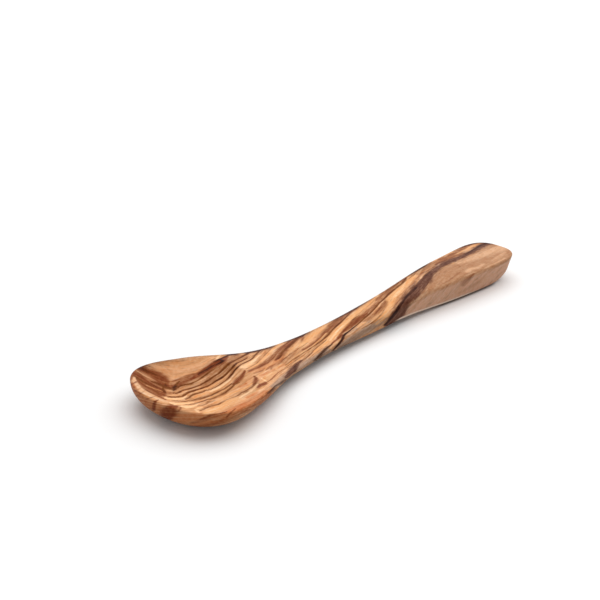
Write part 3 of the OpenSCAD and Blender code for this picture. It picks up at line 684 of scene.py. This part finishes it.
# %% Lay the dark growth lines
STROKES["line"] = [  # dark growth lines
    (1.0, [[8.3, 1.3, 0.2], [9, 1.45, 0.3], [9.7, 1.4, 0.4], [10.4, 1.1, 0.3], [11.5, 0.6, 0.42],
           [12.6, 0.6, 0.25], [14, 0.7, 0.15], [15.5, 1, 0.2], [17, 1.4, 0.25], [18.5, 1.9, 0.25],
           [20, 2.2, 0.2], [22, 2.6, 0.15]]),
    (0.9, [[5.5, 0.3, 0.12], [6.2, -0.6, 0.28], [7.1, -0.65, 0.32], [7.8, -0.5, 0.22], [8.5, -0.6, 0.3],
           [9.6, -1, 0.3], [11, -1.3, 0.32], [12.5, -1.4, 0.32], [14.5, -1.25, 0.32], [16, -1, 0.32],
           [18, -0.45, 0.3], [20, -0.1, 0.32], [22, 0.6, 0.34], [24, 1.4, 0.37], [26, 2.1, 0.4],
           [28, 2.2, 0.3], [30, 2.3, 0.3], [32, 2.55, 0.36], [33.5, 2.95, 0.42], [34.6, 2.8, 0.3]]),
    (1.0, [[3.6, -0.4, 0.15], [4.3, -1.3, 0.22], [5.2, -2.2, 0.26], [6.1, -2.6, 0.32], [7, -2.5, 0.33],
           [8.2, -2.35, 0.3], [9.4, -2.5, 0.32], [10.6, -2.7, 0.3], [12, -2.95, 0.3],
           [13.5, -3.1, 0.24], [15, -2.95, 0.27], [16.5, -2.6, 0.32], [18.5, -2.3, 0.34],
           [20, -1.95, 0.32], [22, -1.2, 0.32], [24, -0.4, 0.32], [25.5, 0.3, 0.32], [26.7, 0.75, 0.3],
           [28.5, 0.75, 0.18], [30.5, 0.95, 0.15]]),
    (0.75, [[5.6, -4.3, 0.25], [6.6, -4.4, 0.32], [7.4, -4, 0.36], [8.4, -3.9, 0.4], [9.4, -4.1, 0.36],
            [10.5, -4.45, 0.33], [11.6, -4.4, 0.25], [12.6, -4.8, 0.2], [14, -4.9, 0.22],
            [15.5, -4.7, 0.22], [17, -4.35, 0.22], [18.5, -4, 0.26], [20, -3.4, 0.3], [22, -2.55, 0.32],
            [24, -1.5, 0.34], [25.6, -0.85, 0.34], [27, -0.45, 0.24], [30, -0.4, 0.24], [31.3, 0, 0.27],
            [33.3, 0.8, 0.26], [34.5, 1.25, 0.24], [36.3, 2, 0.2]]),
    (0.62, [[3.1, -2.4, 0.15], [3.9, -3.8, 0.2], [4.9, -5, 0.25], [5.8, -5.6, 0.32], [7, -6.1, 0.46],
            [8.3, -6.6, 0.5], [9.5, -6.9, 0.5], [11, -7.1, 0.46], [12.5, -7.1, 0.45], [14, -6.9, 0.4],
            [15.5, -6.8, 0.35], [17, -6.5, 0.3], [18.4, -6.2, 0.3]]),
    (0.62, [[3.6, -6, 0.12], [4.4, -6.9, 0.2], [5.4, -7.4, 0.25], [6.4, -7.6, 0.26], [7.5, -7.9, 0.3],
            [8.6, -8, 0.24], [9.5, -8.35, 0.36], [10.6, -8.45, 0.36], [11.8, -8.5, 0.4],
            [13, -8.5, 0.48], [14.2, -8.3, 0.46], [15.5, -8, 0.4], [17, -7.55, 0.36], [18.5, -7, 0.3],
            [20, -6.9, 0.2]]),
    (0.5, [[5.2, -8.7, 0.15], [6.2, -9.3, 0.22], [7.2, -9.4, 0.28], [8.1, -9.1, 0.5], [8.8, -9.5, 0.3],
           [10, -9.5, 0.15]]),
    (0.6, [[4.2, -10.5, 0.22], [5.4, -10.7, 0.28], [6.8, -10.8, 0.3], [8, -11.1, 0.32],
           [8.9, -11.5, 0.34], [10, -11.4, 0.3], [11.5, -11.2, 0.2], [13, -11.3, 0.18],
           [14.8, -11.5, 0.2], [16.5, -11.2, 0.25], [17.9, -11.35, 0.45], [19, -11, 0.25],
           [20.2, -10.8, 0.35], [21.4, -10.4, 0.3], [22.6, -9.9, 0.25]]),
    (0.9, [[6.8, 1, 0.3], [7.4, 1.5, 0.6], [8.2, 2.1, 0.55], [9, 2.7, 0.35], [9.9, 3.2, 0.25],
           [10.8, 3.5, 0.15]]),
    (1.0, [[4.7, 1.6, 0.18], [5, 2.4, 0.28], [5.3, 3, 0.26], [5.9, 3.8, 0.2]]),
    (0.8, [[6.4, 8.5, 0.25], [6.5, 7, 0.34], [6.5, 5.6, 0.36], [6.6, 4.6, 0.42], [6.5, 3.6, 0.5],
           [6.6, 2.6, 0.5], [6.8, 1.8, 0.4]]),
    (0.7, [[8, 5.3, 0.12], [7.4, 4.6, 0.26], [7, 3.9, 0.3]]),
    (0.6, [[5.6, 13.4, 0.3], [5.1, 11.6, 0.35], [4.9, 9.4, 0.35], [5, 7, 0.3], [5.2, 5, 0.25]]),
    (0.7, [[9.6, 17, 0.6], [9.4, 14.6, 0.5], [9.1, 12.6, 0.5], [9.4, 11.2, 0.3], [9.2, 9.4, 0.25]]),
    (0.4, [[7.6, 15.6, 0.3], [7, 13.2, 0.3], [6.4, 11.4, 0.3]]),
    (0.5, [[3.7, 8.6, 0.2], [3.8, 6, 0.25], [3.7, 4, 0.2], [3.3, 2.4, 0.2]]),
    (0.4, [[3, 8, 0.2], [2.6, 5.6, 0.2], [2.5, 3, 0.2]]),
    (0.5, [[26, -3.1, 0.15], [28, -2.95, 0.15], [30, -2.75, 0.15], [32, -2, 0.15], [34, -1.2, 0.15],
           [36, -0.4, 0.15], [38, 0.4, 0.15], [40, 1, 0.15]]),
    (0.5, [[32, 1.3, 0.15], [34, 0.4, 0.12], [36, 1.2, 0.15], [38, 1.3, 0.3], [39, 1.4, 0.3]]),
    (0.9, [[35.1, -4.8, 0.15], [36.5, -4.15, 0.24], [37.5, -3.6, 0.2], [38.5, -2.9, 0.2],
           [40, -2.35, 0.22], [41, -2, 0.3], [42.5, -1.7, 0.27], [44, -1.15, 0.27], [45.5, -0.55, 0.32],
           [47, 0.1, 0.4], [48.6, 0.4, 0.4]]),
    (0.5, [[34, -8.4, 0.2], [38, -7.5, 0.25], [42, -6.8, 0.25], [46, -6.2, 0.22], [50, -5.4, 0.22],
           [54, -4.4, 0.15]]),
    (0.4, [[36, -5.9, 0.15], [40, -4.9, 0.2], [44, -4.2, 0.2], [47, -3.6, 0.15]]),
    (0.4, [[33, -9.2, 0.2], [37, -8.6, 0.2], [41, -7.8, 0.2], [44, -7.2, 0.15]]),
    (0.55, [[35, -10.4, 0.2], [37.5, -9.6, 0.2], [40, -9.3, 0.3], [41.5, -8.9, 0.3], [43, -8.4, 0.25],
            [44.5, -7.7, 0.2], [46.5, -7.1, 0.2], [48.5, -6.6, 0.18], [51, -5.9, 0.15]]),
    (0.9, [[47.4, -5.9, 0.15], [49, -5.6, 0.18], [51, -5, 0.22], [53, -4.4, 0.25], [55, -3.6, 0.28],
           [57, -2.8, 0.25], [59, -2.1, 0.27], [60.5, -1.7, 0.3], [62, -1.2, 0.24], [64, -0.5, 0.2],
           [66, 0.2, 0.15], [68, 0.9, 0.12]]),
    (0.4, [[52, -2.9, 0.15], [55, -1.9, 0.2], [58, -0.9, 0.2], [62, 0, 0.2]]),
    (0.9, [[62, -5.7, 0.2], [65, -4.9, 0.22], [66.5, -4.3, 0.27], [69, -3.6, 0.27], [71, -3, 0.27],
           [73, -2.3, 0.25], [75, -1.5, 0.25], [77, -0.7, 0.22], [79, -0.1, 0.27], [81, 0.6, 0.27],
           [83, 1.3, 0.32], [85, 1.9, 0.32], [87, 2.4, 0.3], [89, 2.9, 0.32], [91, 3.4, 0.32],
           [93, 4.1, 0.36], [94.6, 5, 0.36]]),
    (0.6, [[64, -2.7, 0.15], [66, -2.3, 0.2], [68, -1.9, 0.15]]),
    (0.5, [[62, -7.9, 0.2], [64, -7.7, 0.22], [66.5, -7.4, 0.22], [68.5, -6.9, 0.22], [70, -6.4, 0.24],
           [71.5, -5.9, 0.22], [73, -5.3, 0.15], [75, -4.2, 0.15]]),
    (0.4, [[75, -2.6, 0.12], [77, -1.5, 0.15], [79, -0.8, 0.15], [80.4, -0.2, 0.12]]),
    (0.6, [[84, 3.1, 0.15], [87, 3.6, 0.2], [89, 3.9, 0.2], [91, 4.6, 0.25]]),
    (0.5, [[94.6, 4.1, 0.15], [97, 4.8, 0.18], [99.5, 5.3, 0.15]]),
    (0.35, [[95.5, 6, 0.2], [99, 6.6, 0.2], [104, 7.3, 0.2]]),
]
print("dark growth lines:", len(STROKES["line"]))

# %% Lay the veins and the band
STROKES["dark"] = [  # nearly black veins
    (0.5, [[6.8, 1, 0.3], [7.1, 1.4, 0.5], [7.6, 1.8, 0.5], [8.2, 2.2, 0.4], [8.7, 2.4, 0.2]]),
    (0.6, [[16, 2.8, 0.2], [17.6, 3.2, 0.35], [19.4, 3.4, 0.4], [21, 3.8, 0.35], [22.6, 4, 0.2]]),
    (0.7, [[23.4, 5.2, 0.2], [25.2, 5.3, 0.3], [25.6, 4.2, 0.4], [24.4, 3.8, 0.3], [22.8, 3.7, 0.2]]),
    (0.8, [[25.2, 5.4, 0.3], [26.6, 5.3, 0.2], [28.4, 5.4, 0.3], [29.6, 4.9, 0.35], [30.2, 4.4, 0.2]]),
    (0.7, [[31.6, 2.6, 0.15], [33.2, 2.9, 0.3], [34.4, 2.9, 0.25]]),
    (0.5, [[16, -2.75, 0.15], [17.6, -2.4, 0.22], [19.4, -2.1, 0.2]]),
    (0.5, [[24.6, 0, 0.15], [26, 0.55, 0.22], [27, 0.8, 0.12]]),
    (0.4, [[20, -3.4, 0.15], [22, -2.5, 0.25], [24, -1.5, 0.3], [25.6, -0.9, 0.25]]),
    (0.9, [[47.4, -11.3, 0.2], [49, -10.7, 0.27], [51, -9.9, 0.32], [53, -9, 0.33], [54.5, -8.2, 0.37],
           [55.8, -7.4, 0.32], [57, -6.9, 0.32], [58.6, -6.6, 0.24], [60.5, -6.1, 0.24],
           [62.4, -5.6, 0.15]]),
    (0.6, [[40.4, -11.7, 0.4], [42.5, -11.1, 0.6], [44.5, -10.3, 0.7], [46.5, -9.5, 0.65],
           [48.5, -8.9, 0.5], [50.2, -8.6, 0.2]]),
    (0.5, [[33, -12.4, 0.4], [34.5, -11, 0.5], [36, -9.9, 0.25]]),
    (0.5, [[21, -15.6, 0.5], [24.5, -14.4, 0.4], [28.6, -13.8, 0.5]]),
    (1.0, [[67.5, -10.7, 0.25], [70, -9.8, 0.36], [72.5, -8.9, 0.38], [75, -7.9, 0.38],
           [77, -6.9, 0.33], [79, -5.8, 0.38], [81, -4.9, 0.33], [83, -4.1, 0.28], [85, -3.2, 0.33],
           [88, -2.2, 0.38], [90, -1.6, 0.35], [92, -1, 0.2]]),
    (0.6, [[119.4, 3.9, 0.15], [122, 4.2, 0.3], [125, 4.7, 0.35], [128, 4.9, 0.4], [131, 4.6, 0.6]]),
    (0.5, [[99.6, 2.2, 0.2], [101.8, 3, 0.35], [103, 2.9, 0.15]]),
]
STROKES["band"] = [  # the purple-brown band across the handle, and a patch on the neck
    (0.8, [[29.5, -13, 0.5], [31.5, -12.2, 0.8], [34, -11, 0.9], [36.5, -9.9, 0.5], [38.5, -9.4, 0.3]]),
    (1.0, [[67.6, -11, 0.6], [72, -10, 1.3], [75, -8.9, 1.65], [78, -7.3, 1.65], [80, -6.3, 1.5],
           [82, -5.3, 1.45], [84.5, -4.3, 1.55], [87, -3.4, 1.7], [89.5, -2.5, 1.75], [92, -1.5, 1.7],
           [95, -0.5, 1.5], [98, 0.6, 1.25], [101, 1.8, 1.1]]),
    (0.85, [[98, 0.8, 1.2], [101, 2, 1.15], [104, 2.8, 1.1], [107, 3.5, 1.15], [110, 3.9, 1.3],
            [113, 3.8, 1.2], [117, 3.6, 1.05], [120, 3.8, 1.05], [123, 4, 1.1], [126, 4.4, 1.2],
            [129, 4.6, 1.3], [132, 4.6, 1.3]]),
]
print({name: len(STROKES[name]) for name in ["dark", "band"]})

# %% [markdown]
# ### Sapwood, painted light and painted shade
# The outer, younger wood of the tree is paler and calmer, and it makes the near half of the
# handle. On the handle's side face that sapwood is painted paler still, painted light that lifts the
# face out of its shade. Along the outline's far edge a dark line of painted shade comes and goes,
# and the handle's lower near arris carries a pale painted highlight. A material can't know where an
# edge is, so each of these is worked out at the points and stored beside them, as the strokes are.

# %% Find the sapwood and the worn edges
SAPWOOD_FROM, SAPWOOD_OVER = 15.7, 0.8  # layer number, and the layers over which it changes
PLAIN_LINES = [[-2, 0.1], [0, 0.25], [1, 0.3], [10, 0.3], [11, 0.5], [14, 0.4], [16, 0.3], [17, 0.12]]
# painted shade along the outline's far edge: its strength at stations along the spoon
FAR_EDGE_SHADE = [[7, 0], [9, 0.5], [14, 0.4], [25, 0.3], [31, 0.3], [33, 0.8], [35, 0.3], [38, 1], [43, 0.7],
         [46, 0.2], [49, 0.5], [53, 1], [57, 0.3], [61, 0.2], [65, 0.6], [69, 0.9], [73, 0.9],
         [77, 0.6], [81, 0.3], [94, 0.4], [99, 0.9], [103, 0.9], [108, 0.2], [117, 0.2], [121, 0.5],
         [129, 0.6]]
# painted highlight along the handle's lower near arris: its strength at stations along the spoon
ARRIS_HIGHLIGHT = [[78, 0], [83, 1], [106, 0.9], [118, 0]]
EDGE_SHADE_REACH, HIGHLIGHT_REACH, HIGHLIGHT_ABOVE = 1.7, 0.35, 0.3  # mm
# where the painted light on the handle's side face begins, how far it takes to come in, and how far
# below the top it is full
SIDE_FROM, SIDE_OVER, SIDE_DEEP = 60, 15, 2  # mm


def between(stations, x):
    """Straight lines from station to station."""
    return np.interp(x, *np.array(stations, float).T)


def ramp(x):
    """x, kept between 0 and 1."""
    return np.clip(x, 0, 1)


tip_x, side_y, height = (points + [LENGTH / 2, 0, 0]).T
below_top = along(TOP_LINE, tip_x) - height
past_edge = np.hypot(half_width(tip_x) - abs(side_y), below_top)
# painted shade: a dark line along the outline's far edge, fading over about 1.7 mm
painted_far_edge_shade = np.exp(-((past_edge / EDGE_SHADE_REACH) ** 2)) * ramp(side_y - 1) * between(FAR_EDGE_SHADE, tip_x)

# painted highlight: a pale line on the side face just above the handle's lower near arris
face = (edge_height(tip_x) - under_height(tip_x)) * (1 - ARRIS_SHARE)
foot_gap = (edge_height(tip_x) - height - face + HIGHLIGHT_ABOVE) / HIGHLIGHT_REACH
painted_arris_highlight = np.exp(-(foot_gap ** 2)) * between(ARRIS_HIGHLIGHT, tip_x) * (side_y < 0)

sapwood = ramp((layer - SAPWOOD_FROM) / SAPWOOD_OVER)
# painted light: the sapwood on the handle's side face is made paler, lifting the shade that the face is
# in
painted_light_flank = ramp(below_top / SIDE_DEEP) * ramp((tip_x - SIDE_FROM) / SIDE_OVER) * sapwood
calm = np.maximum(sapwood, np.clip(-layer / 0.6, 0, 0.8))  # the far wall's wood is even too
print("sapwood at", round(100 * (sapwood > 0.5).mean()), "% of the points")

# %% Store what the wood is at every point
layer_maps = {name: strokes(paths) for name, paths in STROKES.items()}
layer_maps |= {"layer": layer, "bold": between(PLAIN_LINES, layer), "sapwood": sapwood}
layer_maps |= {"edge": painted_far_edge_shade, "arris": painted_arris_highlight, "painted_light_flank": painted_light_flank, "calm": calm}
for name, value in layer_maps.items():
    stored = spoon_mesh.attributes.new(name, "FLOAT", "POINT")
    stored.data.foreach_set("value", value.astype(np.float32))
print("attributes:", list(layer_maps))

# %% [markdown]
# ## Oiled olive wood
# Olive is a dense, fine-grained wood, sanded smooth and rubbed with oil. The oil has sunk in: it
# deepens the colours but leaves no film on top, so there is no clear coat and hardly any gloss. The
# eye reads this wood by its dark crooked lines on gold and by short fibres along them. An image
# could not follow the layers through the bowl's hollow, so the colours are worked out from nodes.

# %% Set up colours and nodes
def srgb(code):
    """Hex colour to linear: ((c + 0.055) / 1.055)^2.4 above 0.04045, else c / 12.92."""
    c = np.array([int(code[i:i + 2], 16) for i in (1, 3, 5)]) / 255
    linear = np.where(c > 0.04045, ((c + 0.055) / 1.055) ** 2.4, c / 12.92)
    return (*linear.tolist(), 1.0)


wood = bpy.data.materials.new("oiled_olive_wood")
wood.use_nodes = True
tree = wood.node_tree
tree.nodes.clear()


def add(kind, links=None, **settings):
    """Adds a node. links maps an input to a node, to an output socket or to a constant, and
    settings are the node's own properties."""
    node = tree.nodes.new(kind)
    for name, value in settings.items():
        setattr(node, name, value)
    for name, value in (links or {}).items():
        if isinstance(value, bpy.types.Node):
            value = value.outputs[0]
        if isinstance(value, bpy.types.NodeSocket):
            tree.links.new(value, node.inputs[name])
        else:
            node.inputs[name].default_value = value
    return node


place_m = add("ShaderNodeTexCoord").outputs["Object"]
place_mm = add("ShaderNodeVectorMath", {0: place_m, 1: (1000, 1000, 1000)}, operation="MULTIPLY")
apart = add("ShaderNodeSeparateXYZ", {0: place_mm})
layer_number = add("ShaderNodeAttribute", attribute_name="layer").outputs["Fac"]
print("material:", wood.name)

# %% [markdown]
# ### Grain
# Everything in wood is drawn out along the grain. So the noise is read at a stretched place: a long
# way counts little along the spoon, and a short way counts much from one layer to the next.

# %% Make the grain noise
def grain_noise(along_mm, per_layer, detail=2.0, seed=0.0):
    """Noise at (x / along_mm, layer per_layer, seed): it changes over along_mm of the spoon's
    length, and per_layer times over one layer."""
    far = add("ShaderNodeMath", {0: apart.outputs[0], 1: along_mm}, operation="DIVIDE")
    deep = add("ShaderNodeMath", {0: layer_number, 1: per_layer}, operation="MULTIPLY")
    vector = add("ShaderNodeCombineXYZ", {0: far, 1: deep, 2: seed})
    return add("ShaderNodeTexNoise", {"Vector": vector, "Scale": 1.0, "Detail": detail}).outputs["Fac"]


ragged = grain_noise(3.0, 4.0, detail=3.0, seed=33.0)
ragged = add("ShaderNodeMath", {0: ragged, 1: 0.5}, operation="SUBTRACT")


def lay(under, name, code, fray=0.6, low=0.2, high=0.75, strength=1.0):
    """Lays a colour over another, where the named strokes are. Noise frays their edges along the
    grain, by up to about half of fray. A smooth step, 0 below low and 1 above high, makes them firm."""
    stored = add("ShaderNodeAttribute", attribute_name=name).outputs["Fac"]
    frayed = add("ShaderNodeMath", {0: ragged, 1: fray, 2: stored}, operation="MULTIPLY_ADD")
    firm = {"Value": frayed, "From Min": low, "From Max": high}
    firm = add("ShaderNodeMapRange", firm, interpolation_type="SMOOTHSTEP")
    share = add("ShaderNodeMath", {0: firm, 1: strength}, operation="MULTIPLY")
    mixed = add("ShaderNodeMix", {"Factor": share, 6: under, 7: srgb(code)}, data_type="RGBA")
    return mixed.outputs[2]


print("grain noise and strokes are ready,", len(tree.nodes), "nodes so far")

# %% [markdown]
# ### Plain growth lines
# Between the strokes the layers still show: a thin line once per layer, which wavers and swells,
# and a finer one here and there. A cosine of the layer number gives one crest per layer. Real
# growth lines are under 0.1 mm wide, so these are drawn two to three times as wide, to show.

# %% Draw the plain growth lines
WAVER, SWELL, FINE_SHARE = 0.7, 1.1, 0.5
waver = grain_noise(3.5, 0.6, detail=3.0, seed=3.1)
shifted = add("ShaderNodeMath", {0: waver, 1: WAVER, 2: layer_number}, operation="MULTIPLY_ADD")
phase = add("ShaderNodeMath", {0: shifted, 1: 2 * np.pi}, operation="MULTIPLY")
crest = add("ShaderNodeMath", {0: phase}, operation="COSINE")
swell = grain_noise(6.0, 0.8, detail=2.0, seed=7.7)
thick = add("ShaderNodeMath", {0: swell, 1: SWELL, 2: crest}, operation="MULTIPLY_ADD")
main_line = {"Value": thick, "From Min": 0.9, "From Max": 1.5}
main_line = add("ShaderNodeMapRange", main_line, interpolation_type="SMOOTHSTEP")
fine_line = {"Value": grain_noise(9.0, 5.0, detail=2.0, seed=12.3), "From Min": 0.54, "From Max": 0.66}
fine_line = add("ShaderNodeMapRange", fine_line, interpolation_type="SMOOTHSTEP")
fine_line = add("ShaderNodeMath", {0: fine_line, 1: FINE_SHARE}, operation="MULTIPLY")
line = add("ShaderNodeMath", {0: main_line, 1: fine_line}, operation="MAXIMUM")
bold_there = add("ShaderNodeAttribute", attribute_name="bold").outputs["Fac"]
line = add("ShaderNodeMath", {0: line, 1: bold_there}, operation="MULTIPLY")
print("growth lines use", len(tree.nodes), "nodes so far")

# %% [markdown]
# ### Colours, one over another
# The gold of the heartwood comes first and the darkest veins nearly last, as a painter works from
# broad to fine. low and high say how much of a stroke's bell is covered: a low high gives a line a
# firm edge, and a wide step leaves a patch soft.

# %% Colour the wood
tone = {"Value": grain_noise(14.0, 0.9, detail=2.0, seed=21.0), "From Min": 0.35, "From Max": 0.65}
tone = add("ShaderNodeMapRange", tone, interpolation_type="SMOOTHSTEP")
colour = {"Factor": tone, 6: srgb("#dca271"), 7: srgb("#e8b083")}
colour = add("ShaderNodeMix", colour, data_type="RGBA").outputs[2]
colour = lay(colour, "sapwood", "#b98966", low=0.3, high=0.7)
# painted light on the handle's side face
colour = lay(colour, "painted_light_flank", "#e3b293", fray=0.3)
# paler sapwood, with painted highlights along the handle's upper near arris
colour = lay(colour, "pale", "#dcad88", low=0, high=1)
colour = {"Factor": line, 6: colour, 7: srgb("#8f5428")}
colour = add("ShaderNodeMix", colour, data_type="RGBA").outputs[2]
colour = lay(colour, "tan", "#ab7650", low=0.05, high=0.95, strength=0.9)
colour = lay(colour, "amber", "#cd8354", low=0.05, high=0.95, strength=0.95)
colour = lay(colour, "grey", "#b08e76", low=0, high=0.9)
colour = lay(colour, "brown", "#884a26", low=0, high=0.9)
colour = lay(colour, "rim", "#e6b489", low=0.1, high=0.8)
colour = lay(colour, "rust", "#7e3a18", low=0.1, high=0.9, strength=0.95)
colour = lay(colour, "gold", "#ecaf78", low=0.05, high=0.9)
colour = lay(colour, "peach", "#fbcb9b", low=0.1, high=0.9)
colour = lay(colour, "line", "#743e12", fray=0.7, low=0.02, high=0.76)
colour = lay(colour, "band", "#6b4332", fray=1.0, low=0, high=0.75)
colour = lay(colour, "dark", "#3c1a0e", fray=0.7, low=0.04, high=0.75)
# painted highlight on the handle's lower near arris
colour = lay(colour, "arris", "#fce3cd", fray=0.2, low=0.1, high=0.8)
# painted shade along the outline's far edge
colour = lay(colour, "edge", "#451606", fray=0.3, low=0, high=0.6)
print("colours use", len(tree.nodes), "nodes so far")

# %% [markdown]
# ### Denser and lighter wood
# Denser wood takes up more light, and more of the blue than of the red, so it looks darker and
# redder at once. Raising a colour to a power does just that: above 1 for dense wood, below 1 for
# open wood. Long fibres, short fibres and a mottle of under a millimetre vary it. Real fibres are
# finer than the render can show, so the shortest are drawn 3 mm long. Sapwood is calmer.

# %% Vary the density
MEAN_DENSITY, CALM_SHARE = 1.04, 0.4
FIBRES = [  # share, length in mm, changes per layer, detail, seed
    (1.0, 7.0, 2.5, 4.0, 51.0),
    (0.9, 3.0, 9.0, 3.0, 41.0),
]
MOTTLE_SHARE, MOTTLE_PER_MM = 0.6, 1.3
density = MEAN_DENSITY
calm_there = add("ShaderNodeAttribute", attribute_name="calm").outputs["Fac"]
for share, length, per_layer, detail, seed in FIBRES:
    fibre = grain_noise(length, per_layer, detail, seed)
    off = add("ShaderNodeMath", {0: fibre, 1: 0.5}, operation="SUBTRACT")
    calmer = {"Value": calm_there, "To Min": share, "To Max": share * CALM_SHARE}
    calmer = add("ShaderNodeMapRange", calmer)
    density = add("ShaderNodeMath", {0: off, 1: calmer, 2: density}, operation="MULTIPLY_ADD")
mottle = {"Vector": place_mm, "Scale": MOTTLE_PER_MM, "Detail": 4.0}
mottle = add("ShaderNodeTexNoise", mottle).outputs["Fac"]
off = add("ShaderNodeMath", {0: mottle, 1: 0.5}, operation="SUBTRACT")
density = add("ShaderNodeMath", {0: off, 1: MOTTLE_SHARE, 2: density}, operation="MULTIPLY_ADD")
colour = add("ShaderNodeGamma", {"Color": colour, "Gamma": density})
print("density uses", len(tree.nodes), "nodes so far")

# %% [markdown]
# ### The surface
# Wood's cell walls and dried oil both have an IOR near 1.5. Fine sanding leaves a roughness of
# about a half, and the open pores swallow most of what is left of the gloss, so little of it shows.

# %% Finish the wood
shader = add("ShaderNodeBsdfPrincipled", {
    "Base Color": colour,
    "Roughness": 0.5,
    "IOR": 1.47,
    "Specular IOR Level": 0.06,
})
add("ShaderNodeOutputMaterial", {"Surface": shader})
spoon_mesh.materials.append(wood)
print("wood uses", len(tree.nodes), "nodes")

# %% [markdown]
# ## The table
# The spoon lies on a white table. A white floor under a plain light comes out a pale grey, and more
# light would bleach the wood. So the floor knows which rays come from the camera, or show it in
# gloss or glass: for these it is nearly white and glows a little away from the spoon, and for the
# rays that light the wood it is darker, as a table that goes on into a dim room. The shadow stays,
# because it is light that the floor does not get. Where the handle meets the floor, the narrow gap
# gets painted shade: the floor's colour turns a warm dark brown where a point is closed in, standing
# for the shade there and the light that the wood has coloured.

# %% Make the table
FLOOR_HALF = 3.0  # metres
LIT_SHARE, SEEN_SHARE = 0.45, 0.95  # how white the floor is to the wood and to the camera
GAP = 0.0008  # metres, how far the dark gap under the handle reaches
GAP_FROM, GAP_FULL = -0.005, 0.015  # metres along the spoon
GLOW_FROM, GLOW_FULL, GLOW = 0.08, 0.3, 0.3  # metres from the spoon, and strength
floor_mesh = bpy.data.meshes.new("table_top")
floor_corners = np.array([[-1, -1, 0], [1, -1, 0], [1, 1, 0], [-1, 1, 0]]) * FLOOR_HALF
floor_mesh.from_pydata(floor_corners.tolist(), [], [[0, 1, 2, 3]])
floor = bpy.data.objects.new("table_top", floor_mesh)
bpy.context.scene.collection.objects.link(floor)
print("table of", 2 * FLOOR_HALF, "m")

# %% Colour the table
white = bpy.data.materials.new("white_table")
white.use_nodes = True
tree = white.node_tree
tree.nodes.clear()


def seen_ray():
    """1 for rays from the camera and for what gloss or glass shows, 0 for rays that light."""
    ray = add("ShaderNodeLightPath").outputs
    shown = add("ShaderNodeMath", {0: ray["Is Camera Ray"], 1: ray["Is Glossy Ray"]},
                operation="MAXIMUM")
    return add("ShaderNodeMath", {0: shown, 1: ray["Is Transmission Ray"]}, operation="MAXIMUM")


seen = seen_ray()
reach = add("ShaderNodeMapRange", {"Value": seen, "To Min": LIT_SHARE, "To Max": SEEN_SHARE})
on_floor = add("ShaderNodeTexCoord").outputs["Object"]
place_x = add("ShaderNodeSeparateXYZ", {0: on_floor}).outputs[0]
# painted shade: the floor turns a warm dark brown where it is closed in, near and under the handle
opening = add("ShaderNodeAmbientOcclusion", {"Distance": GAP}).outputs["AO"]
closed = add("ShaderNodeMath", {0: 1.0, 1: opening}, operation="SUBTRACT")
handle_there = {"Value": place_x, "From Min": GAP_FROM, "From Max": GAP_FULL}
handle_there = add("ShaderNodeMapRange", handle_there)
painted_gap_shade = add("ShaderNodeMath", {0: closed, 1: handle_there}, operation="MULTIPLY")
ground = {"Factor": painted_gap_shade, 6: (1, 1, 1, 1), 7: srgb("#7a5646")}
ground = add("ShaderNodeMix", ground, data_type="RGBA").outputs[2]
ground = {"Factor": 1.0, 6: ground, 7: reach.outputs["Result"]}
ground = add("ShaderNodeMix", ground, data_type="RGBA", blend_type="MULTIPLY").outputs[2]
matte = add("ShaderNodeBsdfDiffuse", {"Color": ground})
from_spoon = add("ShaderNodeVectorMath", {0: on_floor}, operation="LENGTH").outputs["Value"]
glow = {"Value": from_spoon, "From Min": GLOW_FROM, "From Max": GLOW_FULL, "To Max": GLOW}
glow = add("ShaderNodeMapRange", glow)
glow = add("ShaderNodeMath", {0: seen, 1: glow}, operation="MULTIPLY")
glow = add("ShaderNodeEmission", {"Color": (1, 1, 1, 1), "Strength": glow})
both = add("ShaderNodeAddShader", {0: matte.outputs[0], 1: glow.outputs[0]})
add("ShaderNodeOutputMaterial", {"Surface": both.outputs[0]})
floor_mesh.materials.append(white)
print("table uses", len(tree.nodes), "nodes")

# %% [markdown]
# ## The light
# A large round lamp hangs above the spoon, a little behind it and to the right, so shadows are soft
# and fall towards the near left. The white room fills them: it is full white to the camera and a
# little over half as bright to the wood.

# %% Set the light
ROOM_LEVEL = 0.56
LAMP_SIZE, LAMP_POWER = 1.5, 7.4  # metres, watts
LAMP_FROM = away * 0.2 + right * 0.15 + np.array([0, 0, 0.8])  # metres

world = bpy.data.worlds.new("white_room")
bpy.context.scene.world = world
world.use_nodes = True
tree = world.node_tree
tree.nodes.clear()
level = {0: seen_ray(), 1: 1 - ROOM_LEVEL, 2: ROOM_LEVEL}
level = add("ShaderNodeMath", level, operation="MULTIPLY_ADD")
room = add("ShaderNodeBackground", {"Color": (1, 1, 1, 1), "Strength": level})
add("ShaderNodeOutputWorld", {"Surface": room.outputs[0]})

lamp_data = bpy.data.lights.new("soft_light", "AREA")
lamp_data.shape = "DISK"
lamp_data.size = LAMP_SIZE
lamp_data.energy = LAMP_POWER
lamp = bpy.data.objects.new("soft_light", lamp_data)
aim_back = LAMP_FROM / np.linalg.norm(LAMP_FROM)
lamp_side = np.cross([0, 1, 0], aim_back)
lamp_side /= np.linalg.norm(lamp_side)
lamp_place = np.eye(4)
lamp_place[:3, 0], lamp_place[:3, 1] = lamp_side, np.cross(aim_back, lamp_side)
lamp_place[:3, 2], lamp_place[:3, 3] = aim_back, LAMP_FROM
lamp.matrix_world = Matrix(lamp_place.tolist())
bpy.context.scene.collection.objects.link(lamp)
bpy.context.scene.view_settings.view_transform = "Standard"
print("light at", np.round(LAMP_FROM, 2))
